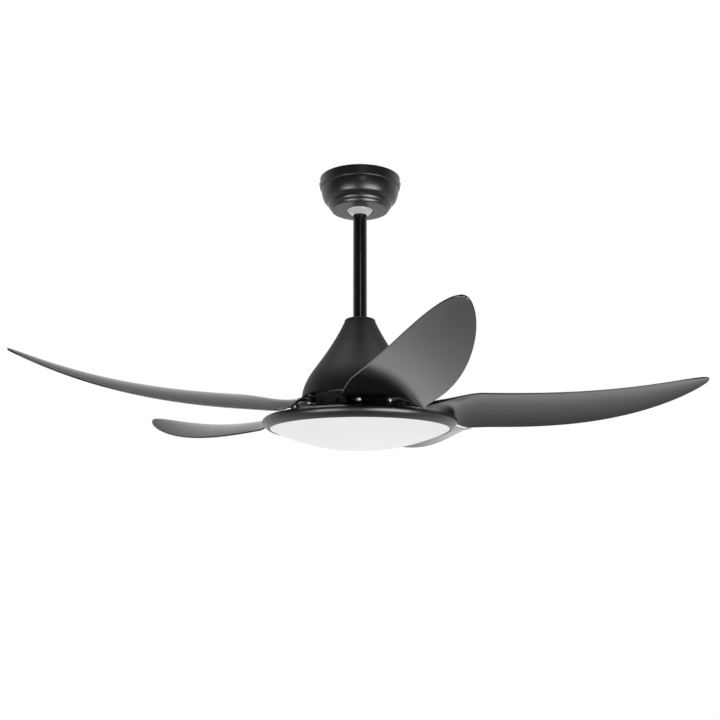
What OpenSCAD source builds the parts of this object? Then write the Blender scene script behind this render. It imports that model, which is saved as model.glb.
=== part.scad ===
// Five-blade ceiling fan with a round LED light, hung on a short downrod.
// Millimetres. The origin is on the ceiling, on the downrod's axis, and +Z points up.
// Azimuths are counted anticlockwise seen from above, from +X.

/* [Canopy] */
// Outside diameter of the ceiling canopy
canopy_d = 150; // [125:1:185]
// Depth of the canopy below the ceiling
canopy_h = 62; // [61:1:70]
// Sheet thickness of the canopy
canopy_wall = 1.4; // [1:0.1:2]

/* [Hanger] */
// Diameter of the hanger ball
ball_d = 56; // [50:1:60]
// Depth of the ball's centre below the ceiling
ball_drop = 46; // [43:1:49]
// Width of the bracket's ceiling plate
bracket_w = 46; // [40:1:56]
// Sheet thickness of the bracket
bracket_t = 2.5; // [2:0.5:3]
// Distance between the two ceiling slots
slot_spacing = 104; // [98:1:110]
// End-to-end length of a ceiling slot
slot_len = 16; // [12:1:18]
// Width of a ceiling slot
slot_w = 5.5; // [4.5:0.5:6.5]

/* [Downrod] */
// Outside diameter of the downrod
rod_d = 25.4; // [21:0.1:31]
// Wall of the downrod
rod_wall = 2; // [1.5:0.1:2.5]
// Length of the downrod
rod_len = 290; // [230:5:900]

/* [Motor cover] */
// Diameter of the coupling cover's flat top
cover_top_d = 57; // [54:1:70]
// Diameter of the motor housing at its open base
housing_d = 209; // [204:1:230]
// Wall of both cover shells
shell_wall = 2.2; // [1.6:0.1:2.6]

/* [Motor] */
// Diameter of the hollow motor shaft, which is the bearings' bore
shaft_d = 17; // [14:0.5:20.5]
// Bore of the motor shaft, for the wires
shaft_bore = 10.4; // [8:0.2:11]
// Outside diameter of the rotor can
can_d = 160; // [150:1:168]
// Gap between the stator and the magnets
air_gap = 0.9; // [0.6:0.1:1.2]

/* [Blades] */
// Diameter of the circle that the blade tips sweep
fan_span = 1220; // [1000:10:1480]
// Widest chord of a blade
blade_chord = 125; // [105:1:145]
// Pitch of a blade, leading edge up
blade_pitch = 19; // [12:0.5:23]
// Height of the arch across a blade, as a share of its chord
blade_camber = 0.067; // [0.03:0.001:0.09]
// Thickness of a blade along its middle
blade_t = 4; // [3:0.5:5]
// Rise of the tip above the lowest point's line
tip_rise = 68; // [40:0.5:90]
// Diameter of the blade carrier
carrier_d = 246; // [242:1:256]

/* [Light] */
// Outside diameter of the light housing
light_d = 347; // [320:1:420]
// Depth of the diffuser's dome
dome_h = 35; // [25:1:42]
// Diameter of the LED board
led_board_d = 290; // [240:1:300]

/* [Hidden] */
$fn = 96;

// --- clearances ---
run_gap = 0.08;       // running clearance of bearings and of the ball in its seat
free_gap = 0.6;       // between pieces that move past each other
bond_gap = 0.1;       // glue between the magnets and the can
eps = 0.5;            // how far a cut runs past a face

// --- canopy and hanger ---
canopy_r = canopy_d / 2;
ball_r = ball_d / 2;
ball_z = -ball_drop;
ball_top_z = ball_z + ball_r * 0.714;
seat_top_z = ball_z - ball_r * 0.393;
seat_t = 3;
leg_x = ball_r + 5;
canopy_in_r = canopy_r - canopy_wall;
tab_x = canopy_in_r - bracket_t - free_gap;
plate_x = sqrt(pow(canopy_in_r, 2) - pow(bracket_w / 2, 2)) - 1;
tab_h = 16;
tab_w = 16;
canopy_screw_z = -9;
canopy_hole_r = sqrt(pow(ball_r, 2) - pow(canopy_h - canopy_wall - ball_drop, 2)) + free_gap;
groove_r = ball_r - 3.8;
groove_w = 5.2;
receiver_size = [62, 24, 26];
receiver_y = 46;
terminal_size = [34, 15, 16];
terminal_y = -44;

// --- downrod and coupler ---
rod_r = rod_d / 2;
rod_in_r = rod_r - rod_wall;
rod_top_z = ball_top_z + 7;
rod_bot_z = rod_top_z - rod_len;
pin_r = 3;
pin_hole_r = pin_r + 0.1;
cross_pin_z = ball_top_z - 1;
cross_pin_len = 34;
coupler_r = rod_r + 5.3;
coupler_top_z = rod_bot_z + 32;
coupler_pin_z = rod_bot_z + 17;
coupler_screw_z = rod_bot_z + 7;
wire_r = 2.5;
wire_y = pin_r + wire_r + 1;

// --- motor covers: one flared outline, split at the seam ---
cover_top_z = rod_bot_z + 38.5;
seam_z = rod_bot_z - 8;
housing_bot_z = rod_bot_z - 109;
housing_r = housing_d / 2;
cover_top_r = cover_top_d / 2;
seam_gap = 0.4;
plate_t = 2;
flange_r = coupler_r + 17;
flange_t = 6;
flange_z = seam_z - plate_t;
housing_screw_r = coupler_r + 9;

// --- motor ---
shaft_r = shaft_d / 2;
shaft_bore_r = shaft_bore / 2;
shaft_top_z = rod_bot_z - 2;
can_r = can_d / 2;
can_wall = 3.5;
can_top_z = rod_bot_z - 63;
can_plate_t = 3;
carrier_top_z = rod_bot_z - 118;
magnet_t = 3;
magnet_count = 20;
stack_h = 20;
stack_z = rod_bot_z - 99;
pole_count = 18;
magnet_r = can_r - can_wall - bond_gap;
core_r = magnet_r - magnet_t - air_gap;
hub_r = shaft_r + 13.5;
board_z = stack_z + stack_h + 7.4;
bearing_ring_t = 2.8;
bearing_w = 10;
bearing_ball_r = 2.4;
bearing_ball_count = 9;
bearing_pitch_r = shaft_r + 4.5;
bearing_out_r = shaft_r + 9;
upper_bearing_z = can_top_z + 2;
lower_bearing_z = carrier_top_z - 4;
boss_r = bearing_out_r + 4.5;
rotor_screw_r = can_r + 5;

// --- blades and their carrier ---
blade_count = 5;
blade_step = 360 / blade_count;
blade_first = -6;
carrier_r = carrier_d / 2;
carrier_t = 4;
carrier_rim_h = 18;
carrier_rim_t = 5;
pocket_half = 48;
root_z = carrier_top_z - 8.5;
root_t = 6;
root_half = 38;
root_in = carrier_r - 22;
screw_u = carrier_r - 9;
screw_v = 26.5;
heel = 6;
heel_u = carrier_r + 56;
root_dip = 2.5;
blade_screw_r = 2.5;
washer_t = 0.8;
tip_r = fan_span / 2;
twist_from = carrier_r + 2;
twist_to = carrier_r + 97;
trail_twist_to = carrier_r + 72;

// --- light ---
light_r = light_d / 2;
light_top_z = carrier_top_z - 22.5;
light_bot_z = light_top_z - 25.5;
light_bore_r = light_r - 12;
pan_wall = 2;
pan_hole_r = 15;
mount_plate_z = lower_bearing_z - 10;
mount_plate_r = 58;
mount_plate_t = 2;
nut_h = 5;
shaft_bot_z = mount_plate_z - mount_plate_t - nut_h - 1;
light_screw_r = 45;
diffuser_r = light_bore_r - 1.6;
skirt_t = 3;
skirt_h = 10;
dome_z = light_bot_z + 1;
dome_t = 2;
dome_sphere_r = (pow(diffuser_r, 2) + pow(dome_h, 2)) / (2 * dome_h);
lug_h = 2;
lug_z = dome_z + 5;
lug_angle = 5;
lug_gap = 0.4;
twist_lock = 20;
lug_azimuths = [90, 210, 330];
board_gap = 10.5;
led_board_z = light_top_z - pan_wall - board_gap - 1.6;
led_board_t = 1.6;
led_size = [3.5, 2.8, 0.8];
led_screw_count = 6;
led_screw_r = led_board_d / 2 - 8;
driver_size = [82, 40, 9];
driver_x = 24;

// Point on a cubic curve with four control points
function curve(p, t) =
    pow(1 - t, 3) * p[0] + 3 * pow(1 - t, 2) * t * p[1]
    + 3 * (1 - t) * pow(t, 2) * p[2] + pow(t, 3) * p[3];

// Points of an arc about c, from angle a to angle b
function arc(c, r, a, b, n) =
    [for (i = [0:n]) let (t = a + (b - a) * i / n) c + r * [cos(t), sin(t)]];

// Smooth step from 0 at x = 0 to 1 at x = 1
function ease(x) = let (t = min(max(x, 0), 1)) t * t * (3 - 2 * t);

function mix(a, b, t) = a + (b - a) * t;

// --- the flared outline of the two motor covers ---
waist_r = cover_top_r + 55.2;
waist_z = cover_top_z - 96;
flare_upper = [
    [cover_top_r, cover_top_z - 5.5],
    [cover_top_r + 13.6, cover_top_z - 36.5],
    [waist_r - 22.5, waist_z + 31],
    [waist_r, waist_z]
];
flare_lower = [
    [waist_r, waist_z],
    [waist_r + 12.2, waist_z - 17],
    [housing_r - 0.9, housing_bot_z + 17],
    [housing_r, housing_bot_z]
];
flare_points = concat(
    [for (i = [0:24]) curve(flare_upper, i / 24)],
    [for (i = [1:16]) curve(flare_lower, i / 16)]
);
flare_table = [for (p = flare_points) [-p[1], p[0]]];
function flare_r(z) = lookup(-z, flare_table);

// Outside points of the flare between two heights, z1 above z2
function flare_between(z1, z2, n, inset = 0) =
    [for (i = [0:n]) let (z = mix(z1, z2, i / n)) [flare_r(z) - inset, z]];

// --- shared small shapes ---
module ring(r_out, r_in, h) {
    difference() {
        cylinder(r = r_out, h = h);
        translate([0, 0, -eps]) cylinder(r = r_in, h = h + 2 * eps);
    }
}

module around(angles) {
    for (a = angles) rotate([0, 0, a]) children();
}

// Pan-head screw hanging head down: the head's seat is at z = 0, the shank goes up
module pan_screw(r, length, head_r, head_h) {
    difference() {
        union() {
            cylinder(r = r, h = length);
            translate([0, 0, -head_h / 2]) cylinder(r = head_r, h = head_h / 2);
            translate([0, 0, -head_h])
                cylinder(r1 = head_r * 0.72, r2 = head_r, h = head_h / 2);
        }
        for (a = [0, 90]) {
            rotate([0, 0, a])
                translate([-head_r * 0.5, -head_r * 0.11, -head_h - eps])
                    cube([head_r, head_r * 0.22, head_h * 0.5 + eps]);
        }
    }
}

// Socket set screw lying along +X from x = 0
module set_screw(r, length) {
    rotate([0, 90, 0])
        difference() {
            cylinder(r = r, h = length);
            translate([0, 0, length - 2]) cylinder(r = r * 0.5, h = 2 + eps, $fn = 6);
        }
}

// Smooth tube through a list of control points, with round bends
function tube_ring(p, d, r, n) =
    let (
        t = d / norm(d),
        side = abs(t[0]) < 0.9 ? [1, 0, 0] : [0, 0, 1],
        a = cross(t, side) / norm(cross(t, side)),
        b = cross(t, a)
    )
    [for (i = [0:n - 1]) p + r * (a * cos(360 * i / n) + b * sin(360 * i / n))];

module wire_run(path, r, n = 8) {
    m = len(path);
    rings = [
        for (i = [0:m - 1])
            tube_ring(path[i], path[min(i + 1, m - 1)] - path[max(i - 1, 0)], r, n)
    ];
    sides = [
        for (i = [0:m - 2]) for (j = [0:n - 1])
            let (a = i * n + j, b = i * n + (j + 1) % n)
            each [[a, a + n, b + n], [a, b + n, b]]
    ];
    ends = [
        for (j = [1:n - 2])
            each [[0, j, j + 1], [(m - 1) * n, (m - 1) * n + j + 1, (m - 1) * n + j]]
    ];
    polyhedron(points = [for (q = rings) each q], faces = concat(sides, ends), convexity = 4);
}

// ---------------------------------------------------------------- ceiling pieces

// Steel hanger: ceiling plate, two legs, the ball's seat and two side tabs
module hanging_bracket() {
    color("silver")
    difference() {
        union() {
            translate([-plate_x, -bracket_w / 2, -bracket_t])
                cube([2 * plate_x, bracket_w, bracket_t]);
            translate([-tab_x - bracket_t, -tab_w / 2, -bracket_t])
                cube([2 * (tab_x + bracket_t), tab_w, bracket_t]);
            translate([-22, 0, -bracket_t])
                cube([44, receiver_y + 10, bracket_t]);
            translate([-20, terminal_y - 8, -bracket_t])
                cube([40, -terminal_y, bracket_t]);
            for (s = [-1, 1]) {
                translate([s * (leg_x + bracket_t / 2) - bracket_t / 2, -20, seat_top_z - seat_t])
                    cube([bracket_t, 40, -seat_top_z + seat_t - bracket_t]);
                translate([s * (tab_x + bracket_t / 2) - bracket_t / 2, -tab_w / 2, -tab_h])
                    cube([bracket_t, tab_w, tab_h]);
            }
            translate([-leg_x, -(ball_r + 4), seat_top_z - seat_t])
                cube([2 * leg_x, 2 * (ball_r + 4), seat_t]);
            // tang that stops the ball from turning with the motor
            translate([-groove_w / 2 + 0.4, groove_r + 0.9, seat_top_z - seat_t])
                cube([groove_w - 0.8, ball_r + 4 - groove_r - 0.9, seat_t + 12]);
        }
        difference() {
            translate([0, 0, ball_z]) sphere(r = ball_r + run_gap);
            // the tang stays inside the ball's groove
            translate([-groove_w / 2 + 0.4, groove_r + 0.9, seat_top_z - seat_t - eps])
                cube([groove_w - 0.8, 20, seat_t + 12 + 2 * eps]);
        }
        // mouth that the downrod enters from the side
        translate([-rod_r - 1, -ball_r - 4 - eps, seat_top_z - seat_t - eps])
            cube([rod_d + 2, ball_r + 4, seat_t + 2 * eps]);
        for (s = [-1, 1]) {
            for (e = [-1, 1])
                translate([s * slot_spacing / 2 + e * (slot_len - slot_w) / 2, 0, -bracket_t - eps])
                    cylinder(r = slot_w / 2, h = bracket_t + 2 * eps);
            translate([s * slot_spacing / 2 - (slot_len - slot_w) / 2, -slot_w / 2, -bracket_t - eps])
                cube([slot_len - slot_w, slot_w, bracket_t + 2 * eps]);
            translate([s * (tab_x - eps), 0, canopy_screw_z])
                rotate([0, s * 90, 0]) cylinder(r = 2, h = bracket_t + 2 * eps);
            translate([s * (receiver_size[0] / 2 - 13), receiver_y, -bracket_t - eps])
                cylinder(r = 1.5, h = bracket_t + 2 * eps);
        }
        translate([leg_x + 9, 14, -bracket_t - eps])
            cylinder(r = 2, h = bracket_t + 2 * eps);
    }
}

// Outline of the canopy's outside, moved in by d for its inside
function canopy_outline(d) =
    let (r = canopy_r, h = canopy_h)
    concat(
        [[0, 0], [r - d, 0], [r - d, -16.5]],
        arc([r - 2 - d, -17], 2, 0, -70, 4),
        arc([r - 2.8 - 50 - d, -20], 50, 0, -27, 8),
        [[r - 11.5 - d, -45.4 + d * 0.4], [r - 13.8 - d, -47 + d * 0.8]],
        arc([r - 20 - 6 - d, -h + 13.5], 10.5, 0, -58, 5),
        arc([r - 24.6 - d, -h + 4 + d], 4, -50, -90, 3),
        [[0, -h + d]]
    );

// Stepped bowl that hides the bracket
module canopy() {
    color([0.09, 0.09, 0.09])
    difference() {
        rotate_extrude() polygon(canopy_outline(0));
        rotate_extrude() polygon(canopy_outline(canopy_wall));
        translate([0, 0, -canopy_h - eps]) cylinder(r = canopy_hole_r, h = 10);
        for (s = [-1, 1])
            translate([0, 0, canopy_screw_z])
                rotate([0, s * 90, 0]) cylinder(r = 2.2, h = canopy_r + 5);
    }
}

// Two screws that hold the canopy to the bracket's side tabs
module canopy_screws() {
    color([0.1, 0.1, 0.1])
    for (s = [-1, 1])
        translate([s * canopy_r, 0, canopy_screw_z])
            rotate([0, -s * 90, 0])
                pan_screw(2, canopy_r - tab_x + 2, 3.6, 1.1);
}

// Closed box of the remote-control receiver, with two ears
module remote_receiver() {
    box_z = -bracket_t - 2 - receiver_size[2];
    color([0.16, 0.16, 0.17])
    difference() {
        union() {
            translate([-receiver_size[0] / 2, receiver_y - receiver_size[1] / 2, box_z])
                cube(receiver_size);
            translate([-receiver_size[0] / 2 + 8, receiver_y - 5, -bracket_t - 2])
                cube([receiver_size[0] - 16, 10, 2]);
        }
        for (s = [-1, 1])
            translate([s * (receiver_size[0] / 2 - 13), receiver_y, -bracket_t - 8])
                cylinder(r = 1.5, h = 8 + eps);
        translate([-18, receiver_y - receiver_size[1] / 2 - eps, -bracket_t - 20])
            cube([36, 3, 8]);
    }
}

// Screws that hold the receiver under the bracket, driven down from the plate
module receiver_screws() {
    color("silver")
    for (s = [-1, 1])
        translate([s * (receiver_size[0] / 2 - 13), receiver_y, -bracket_t - 7])
            cylinder(r = 1.5, h = 7 + bracket_t);
}

// Three-pole mains terminal block under the bracket
module terminal_block() {
    block_z = -bracket_t - terminal_size[2];
    color("white")
    difference() {
        translate([-terminal_size[0] / 2, terminal_y - terminal_size[1] / 2, block_z])
            cube(terminal_size);
        for (i = [-1:1]) {
            translate([i * 10.5, terminal_y, block_z - eps])
                cylinder(r = 2, h = 5 + eps);
            translate([i * 10.5, terminal_y + 12, block_z + 7])
                rotate([90, 0, 0]) cylinder(r = 1.8, h = 24);
        }
    }
}

// Earth screw on the bracket
module earth_screw() {
    color("green")
    translate([leg_x + 9, 14, -bracket_t])
        pan_screw(2, bracket_t, 4, 2.6);
}

// ---------------------------------------------------------------- hanging pieces

// White ball that carries the fan in the bracket's seat
module hanger_ball() {
    color("whitesmoke")
    difference() {
        translate([0, 0, ball_z]) sphere(r = ball_r);
        translate([-ball_r, -ball_r, ball_top_z]) cube([2 * ball_r, 2 * ball_r, ball_r]);
        translate([0, 0, ball_z - ball_r - eps]) cylinder(r = rod_r, h = 2 * ball_r + 2 * eps);
        // seat of the cross pin
        translate([-ball_r, -pin_r, cross_pin_z]) cube([2 * ball_r, 2 * pin_r, 8]);
        translate([-ball_r, 0, cross_pin_z]) rotate([0, 90, 0]) cylinder(r = pin_r, h = 2 * ball_r);
        // set screw
        translate([0, 0, ball_z + 6]) rotate([90, 0, 0]) cylinder(r = 2.5, h = ball_r);
        // meridian groove for the bracket's tang
        difference() {
            translate([-groove_w / 2, 0, ball_z - ball_r])
                cube([groove_w, ball_r + eps, 2 * ball_r]);
            translate([-groove_w, 0, ball_z]) rotate([0, 90, 0])
                cylinder(r = groove_r, h = 2 * groove_w);
        }
    }
}

// Pin across the rod's top, lying in the ball
module ball_cross_pin() {
    color("silver")
    translate([-cross_pin_len / 2, 0, cross_pin_z])
        rotate([0, 90, 0]) cylinder(r = pin_r, h = cross_pin_len);
}

// Set screw that clamps the rod in the ball
module ball_set_screw() {
    color("dimgray")
    rotate([0, 0, -90])
        translate([rod_r, 0, ball_z + 6])
            set_screw(2.5, ball_r - 2.4 - rod_r);
}

// Steel tube between the ball and the coupler
module downrod() {
    color([0.05, 0.05, 0.05])
    difference() {
        translate([0, 0, rod_bot_z]) ring(rod_r, rod_in_r, rod_len);
        for (z = [cross_pin_z, coupler_pin_z])
            translate([-rod_r - 1, 0, z])
                rotate([0, 90, 0]) cylinder(r = pin_hole_r, h = rod_d + 2);
    }
}

// Cup that takes the downrod, with the flange that carries the motor housing
module shaft_coupler() {
    color("silver")
    difference() {
        union() {
            translate([0, 0, flange_z]) cylinder(r = coupler_r, h = coupler_top_z - flange_z);
            translate([0, 0, flange_z - flange_t]) cylinder(r = flange_r, h = flange_t);
        }
        translate([0, 0, rod_bot_z]) cylinder(r = rod_r, h = coupler_top_z - rod_bot_z + eps);
        translate([0, 0, shaft_top_z - eps]) cylinder(r = shaft_bore_r, h = 10);
        translate([0, 0, flange_z - flange_t - eps])
            cylinder(r = shaft_r, h = shaft_top_z - flange_z + flange_t + eps);
        translate([-coupler_r - 1, 0, coupler_pin_z])
            rotate([0, 90, 0]) cylinder(r = pin_hole_r, h = 2 * coupler_r + 2);
        translate([0, coupler_r + 1, coupler_screw_z])
            rotate([90, 0, 0]) cylinder(r = 2.5, h = 2 * coupler_r + 2);
        around([30, 150, 270])
            translate([housing_screw_r, 0, flange_z - flange_t - eps])
                cylinder(r = 2, h = flange_t + 2 * eps);
    }
}

// Headed pin that locks the rod in the coupler
module coupler_pin() {
    color("silver")
    difference() {
        union() {
            translate([-coupler_r, 0, coupler_pin_z])
                rotate([0, 90, 0]) cylinder(r = pin_r, h = 2 * coupler_r + 6);
            translate([-coupler_r - 2.5, 0, coupler_pin_z])
                rotate([0, 90, 0]) cylinder(r = 5, h = 2.5);
        }
        translate([coupler_r + 3, 0, coupler_pin_z - 5]) cylinder(r = 1.1, h = 10);
    }
}

// Hairpin clip through the pin's end
module cotter_clip() {
    color("gainsboro")
    translate([coupler_r + 3, 0, coupler_pin_z]) {
        translate([0, 0, -9]) cylinder(r = 0.9, h = 17);
        translate([0, 4, 8])
            rotate([0, -90, 0]) rotate([0, 0, -90])
                rotate_extrude(angle = 180) translate([4, 0]) circle(r = 0.9);
        translate([0, 8, -3]) cylinder(r = 0.9, h = 11);
    }
}

// Two set screws that take up the play between rod and coupler
module coupler_set_screws() {
    color("dimgray")
    around([90, 270])
        translate([rod_r, 0, coupler_screw_z]) set_screw(2.5, coupler_r - rod_r);
}

// Bell-shaped cover of the motor, hung on the coupler's flange
module motor_housing() {
    color([0.12, 0.12, 0.12])
    difference() {
        rotate_extrude()
            polygon(concat(
                [[0, seam_z], [flare_r(seam_z) - 0.7, seam_z]],
                flare_between(seam_z - 0.7, housing_bot_z, 36),
                [[0, housing_bot_z]]
            ));
        rotate_extrude()
            polygon(concat(
                [[0, seam_z - plate_t]],
                flare_between(seam_z - plate_t, housing_bot_z, 30, shell_wall),
                [[flare_r(housing_bot_z) - shell_wall, housing_bot_z - eps], [0, housing_bot_z - eps]]
            ));
        translate([0, 0, seam_z - plate_t - eps]) cylinder(r = coupler_r, h = plate_t + 2 * eps);
        around([30, 150, 270])
            translate([housing_screw_r, 0, seam_z - plate_t - eps])
                cylinder(r = 2.2, h = plate_t + 2 * eps);
    }
}

// Three screws that hold the motor housing to the coupler's flange, driven down
module housing_screws() {
    color("silver")
    around([30, 150, 270])
        translate([housing_screw_r, 0, seam_z])
            mirror([0, 0, 1]) pan_screw(2, plate_t + flange_t, 3.8, 2.6);
}

// Hollow steel shaft, fixed, that the rotor turns on
module motor_shaft() {
    color("gainsboro")
    translate([0, 0, shaft_bot_z])
        ring(shaft_r, shaft_bore_r, shaft_top_z - shaft_bot_z);
}

// Aluminium hub that holds the stator's laminations and the motor board
module stator_hub() {
    color("lightgray")
    difference() {
        union() {
            translate([0, 0, stack_z - 4]) cylinder(r = hub_r, h = stack_h + 8);
            translate([0, 0, stack_z + stack_h + 4]) cylinder(r = hub_r + 4, h = 3.4);
        }
        translate([0, 0, stack_z - 10]) cylinder(r = shaft_r, h = stack_h + 30);
    }
}

// Laminated stator with teeth and pole shoes
module stator_core() {
    shoe_x = core_r * 1.2;
    shoe_y = core_r * 0.165;
    color("slategray")
    translate([0, 0, stack_z])
        linear_extrude(stack_h)
            difference() {
                union() {
                    circle(r = hub_r + 15);
                    around([for (i = [0:pole_count - 1]) i * 360 / pole_count]) {
                        translate([hub_r + 10, -3.5]) square([core_r - hub_r - 11.5, 7]);
                        intersection() {
                            difference() {
                                circle(r = core_r);
                                circle(r = core_r - 3);
                            }
                            polygon([[0, 0], [shoe_x, -shoe_y], [shoe_x, shoe_y]]);
                        }
                    }
                }
                circle(r = hub_r);
            }
}

// Copper coils, one round each tooth
module stator_windings() {
    color([0.72, 0.42, 0.2])
    around([for (i = [0:pole_count - 1]) i * 360 / pole_count])
        difference() {
            translate([hub_r + 18, -5.8, stack_z - 5])
                cube([core_r - hub_r - 23, 11.6, stack_h + 10]);
            translate([hub_r + 17, -3.5, stack_z])
                cube([core_r - hub_r - 20, 7, stack_h]);
        }
}

// Circuit board with the motor's driver chips and rotor sensors
module motor_board() {
    color("darkgreen")
    translate([0, 0, board_z]) {
        ring(can_r - 18, shaft_r + 3.5, 1.6);
        around([20, 80, 140, 200, 260, 320])
            translate([boss_r + 14, -4, 1]) cube([9, 8, 2]);
    }
}

// One bearing ring: the outside or the inside one, with its ball groove
module bearing_ring(r_out, r_in) {
    difference() {
        translate([0, 0, -bearing_w / 2]) ring(r_out, r_in, bearing_w);
        rotate_extrude() translate([bearing_pitch_r, 0]) circle(r = bearing_ball_r + run_gap);
    }
}

module bearing_inner_ring(z) {
    color("lightsteelblue")
    translate([0, 0, z]) bearing_ring(shaft_r + bearing_ring_t, shaft_r);
}

module bearing_outer_ring(z) {
    color("lightsteelblue")
    translate([0, 0, z]) bearing_ring(bearing_out_r, bearing_out_r - bearing_ring_t);
}

module bearing_balls(z) {
    color("white")
    translate([0, 0, z])
        around([for (i = [0:bearing_ball_count - 1]) i * 360 / bearing_ball_count])
            translate([bearing_pitch_r, 0, 0]) sphere(r = bearing_ball_r);
}

module bearing_cage(z) {
    color("saddlebrown")
    translate([0, 0, z])
        difference() {
            translate([0, 0, -3.2]) ring(bearing_pitch_r + 0.9, bearing_pitch_r - 0.9, 6.4);
            around([for (i = [0:bearing_ball_count - 1]) i * 360 / bearing_ball_count])
                translate([bearing_pitch_r - 3, 0, 0]) rotate([0, 90, 0])
                    cylinder(r = bearing_ball_r + 0.1, h = 6);
        }
}

module upper_bearing_inner_ring() { bearing_inner_ring(upper_bearing_z); }
module lower_bearing_inner_ring() { bearing_inner_ring(lower_bearing_z); }
module upper_bearing_outer_ring() { bearing_outer_ring(upper_bearing_z); }
module lower_bearing_outer_ring() { bearing_outer_ring(lower_bearing_z); }
module upper_bearing_cage() { bearing_cage(upper_bearing_z); }
module lower_bearing_cage() { bearing_cage(lower_bearing_z); }
module upper_bearing_balls() { bearing_balls(upper_bearing_z); }
module lower_bearing_balls() { bearing_balls(lower_bearing_z); }

// Sleeve between the lower bearing and the light's mounting plate
module bearing_spacer() {
    color("silver")
    translate([0, 0, mount_plate_z])
        ring(shaft_r + bearing_ring_t - 0.3, shaft_r, lower_bearing_z - bearing_w / 2 - mount_plate_z);
}

// Fixed plate under the rotor that the light hangs from
module light_mount_plate() {
    color("silver")
    translate([0, 0, mount_plate_z - mount_plate_t])
        difference() {
            ring(mount_plate_r, shaft_r, mount_plate_t);
            around([0, 120, 240])
                translate([light_screw_r, 0, -eps]) cylinder(r = 2, h = mount_plate_t + 2 * eps);
        }
}

// Hexagon nut on the shaft's end
module shaft_nut() {
    color("silver")
    translate([0, 0, mount_plate_z - mount_plate_t - nut_h])
        difference() {
            cylinder(r = shaft_r + 5.2, h = nut_h, $fn = 6);
            translate([0, 0, -eps]) cylinder(r = shaft_r, h = nut_h + 2 * eps, $fn = 96);
        }
}

// Outline of the light housing's outside, from its top down to its lower lip
function light_outline() = concat(
    [[pan_hole_r, light_top_z], [light_r - 55, light_top_z]],
    [for (i = [1:6]) curve([
        [light_r - 55, light_top_z], [light_r - 30, light_top_z],
        [light_r - 16, light_top_z - 3], [light_r - 5.5, light_top_z - 6]], i / 6)],
    [for (i = [1:6]) curve([
        [light_r - 5.5, light_top_z - 6], [light_r - 1.8, light_top_z - 7.2],
        [light_r, light_top_z - 9], [light_r, light_top_z - 12]], i / 6)],
    [for (i = [1:8]) curve([
        [light_r, light_top_z - 12], [light_r, light_top_z - 17.5],
        [light_r - 6.5, light_bot_z + 2.5], [light_bore_r, light_bot_z]], i / 8)]
);

// Round pan with a rounded rim, bosses for the LED board and three bayonet lugs
module light_housing() {
    color([0.1, 0.1, 0.1]) {
        difference() {
            union() {
                rotate_extrude()
                    polygon(concat(
                        light_outline(),
                        [
                            [light_bore_r, light_top_z - 9.5],
                            [light_r - 28, light_top_z - 5.5],
                            [light_r - 55, light_top_z - pan_wall],
                            [pan_hole_r, light_top_z - pan_wall]
                        ]
                    ));
                around([0, 120, 240])
                    translate([light_screw_r, 0, light_top_z - pan_wall])
                        cylinder(r = 6, h = mount_plate_z - mount_plate_t - light_top_z + pan_wall);
                around([for (i = [0:led_screw_count - 1]) 30 + i * 360 / led_screw_count])
                    translate([led_screw_r, 0, led_board_z + led_board_t])
                        cylinder(r = 4, h = light_top_z - 1 - led_board_z - led_board_t);
            }
            around([0, 120, 240])
                translate([light_screw_r, 0, light_top_z - pan_wall - eps])
                    cylinder(r = 2.2, h = 30);
            around([for (i = [0:led_screw_count - 1]) 30 + i * 360 / led_screw_count])
                translate([led_screw_r, 0, led_board_z]) cylinder(r = 1.5, h = 8);
        }
        around(lug_azimuths)
            rotate([0, 0, -lug_angle / 2])
                rotate_extrude(angle = lug_angle)
                    translate([diffuser_r - skirt_t - lug_gap, lug_z])
                        square([light_bore_r - diffuser_r + skirt_t + lug_gap + 0.4, lug_h]);
    }
}

// Three screws that hold the light housing to its mounting plate
module light_housing_screws() {
    color("silver")
    around([0, 120, 240])
        translate([light_screw_r, 0, light_top_z - pan_wall])
            pan_screw(2, mount_plate_z - light_top_z + pan_wall, 4, 2.6);
}

// Flat driver of the LED board
module led_driver() {
    color("white")
    translate([driver_x, -driver_size[1] / 2, light_top_z - pan_wall - driver_size[2]])
        difference() {
            cube(driver_size);
            translate([light_screw_r - driver_x, driver_size[1] / 2, driver_size[2] - 3.2])
                cylinder(r = 5, h = 3.2 + eps);
        }
}

// White aluminium board that carries the LEDs
module led_board() {
    color("white")
    translate([0, 0, led_board_z])
        difference() {
            ring(led_board_d / 2, 10, led_board_t);
            around([for (i = [0:led_screw_count - 1]) 30 + i * 360 / led_screw_count])
                translate([led_screw_r, 0, -eps]) cylinder(r = 1.7, h = led_board_t + 2 * eps);
        }
}

// Screws of the LED board
module led_board_screws() {
    color("silver")
    around([for (i = [0:led_screw_count - 1]) 30 + i * 360 / led_screw_count])
        translate([led_screw_r, 0, led_board_z]) pan_screw(1.5, 8, 3, 1.6);
}

// LEDs in three rings
module led_chips() {
    color([1, 0.85, 0.4])
    for (k = [1:3])
        around([for (i = [0:8 * k - 1]) (i + 0.5) * 360 / (8 * k)])
            translate([k * led_board_d / 8, -led_size[1] / 2, led_board_z - led_size[2]])
                cube(led_size);
}

// Wires from the canopy to the light, down through the rod and the shaft
module wiring_harness() {
    bend_from = rod_bot_z + 13;
    bend_to = rod_bot_z - 2;
    exit_z = light_top_z - 1;
    lead_z = light_top_z - pan_wall - driver_size[2] / 2;
    drop = exit_z - lead_z;
    color([0.2, 0.2, 0.2])
    wire_run(concat(
        [[0, wire_y, rod_top_z + 4]],
        [for (i = [0:8]) let (t = i / 8) [0, wire_y * (1 - ease(t)), mix(bend_from, bend_to, t)]],
        [for (i = [0:8]) let (a = 90 * i / 8) [drop * (1 - cos(a)), 0, exit_z - drop * sin(a)]],
        [[driver_x, 0, lead_z]]
    ), wire_r);
}

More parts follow.
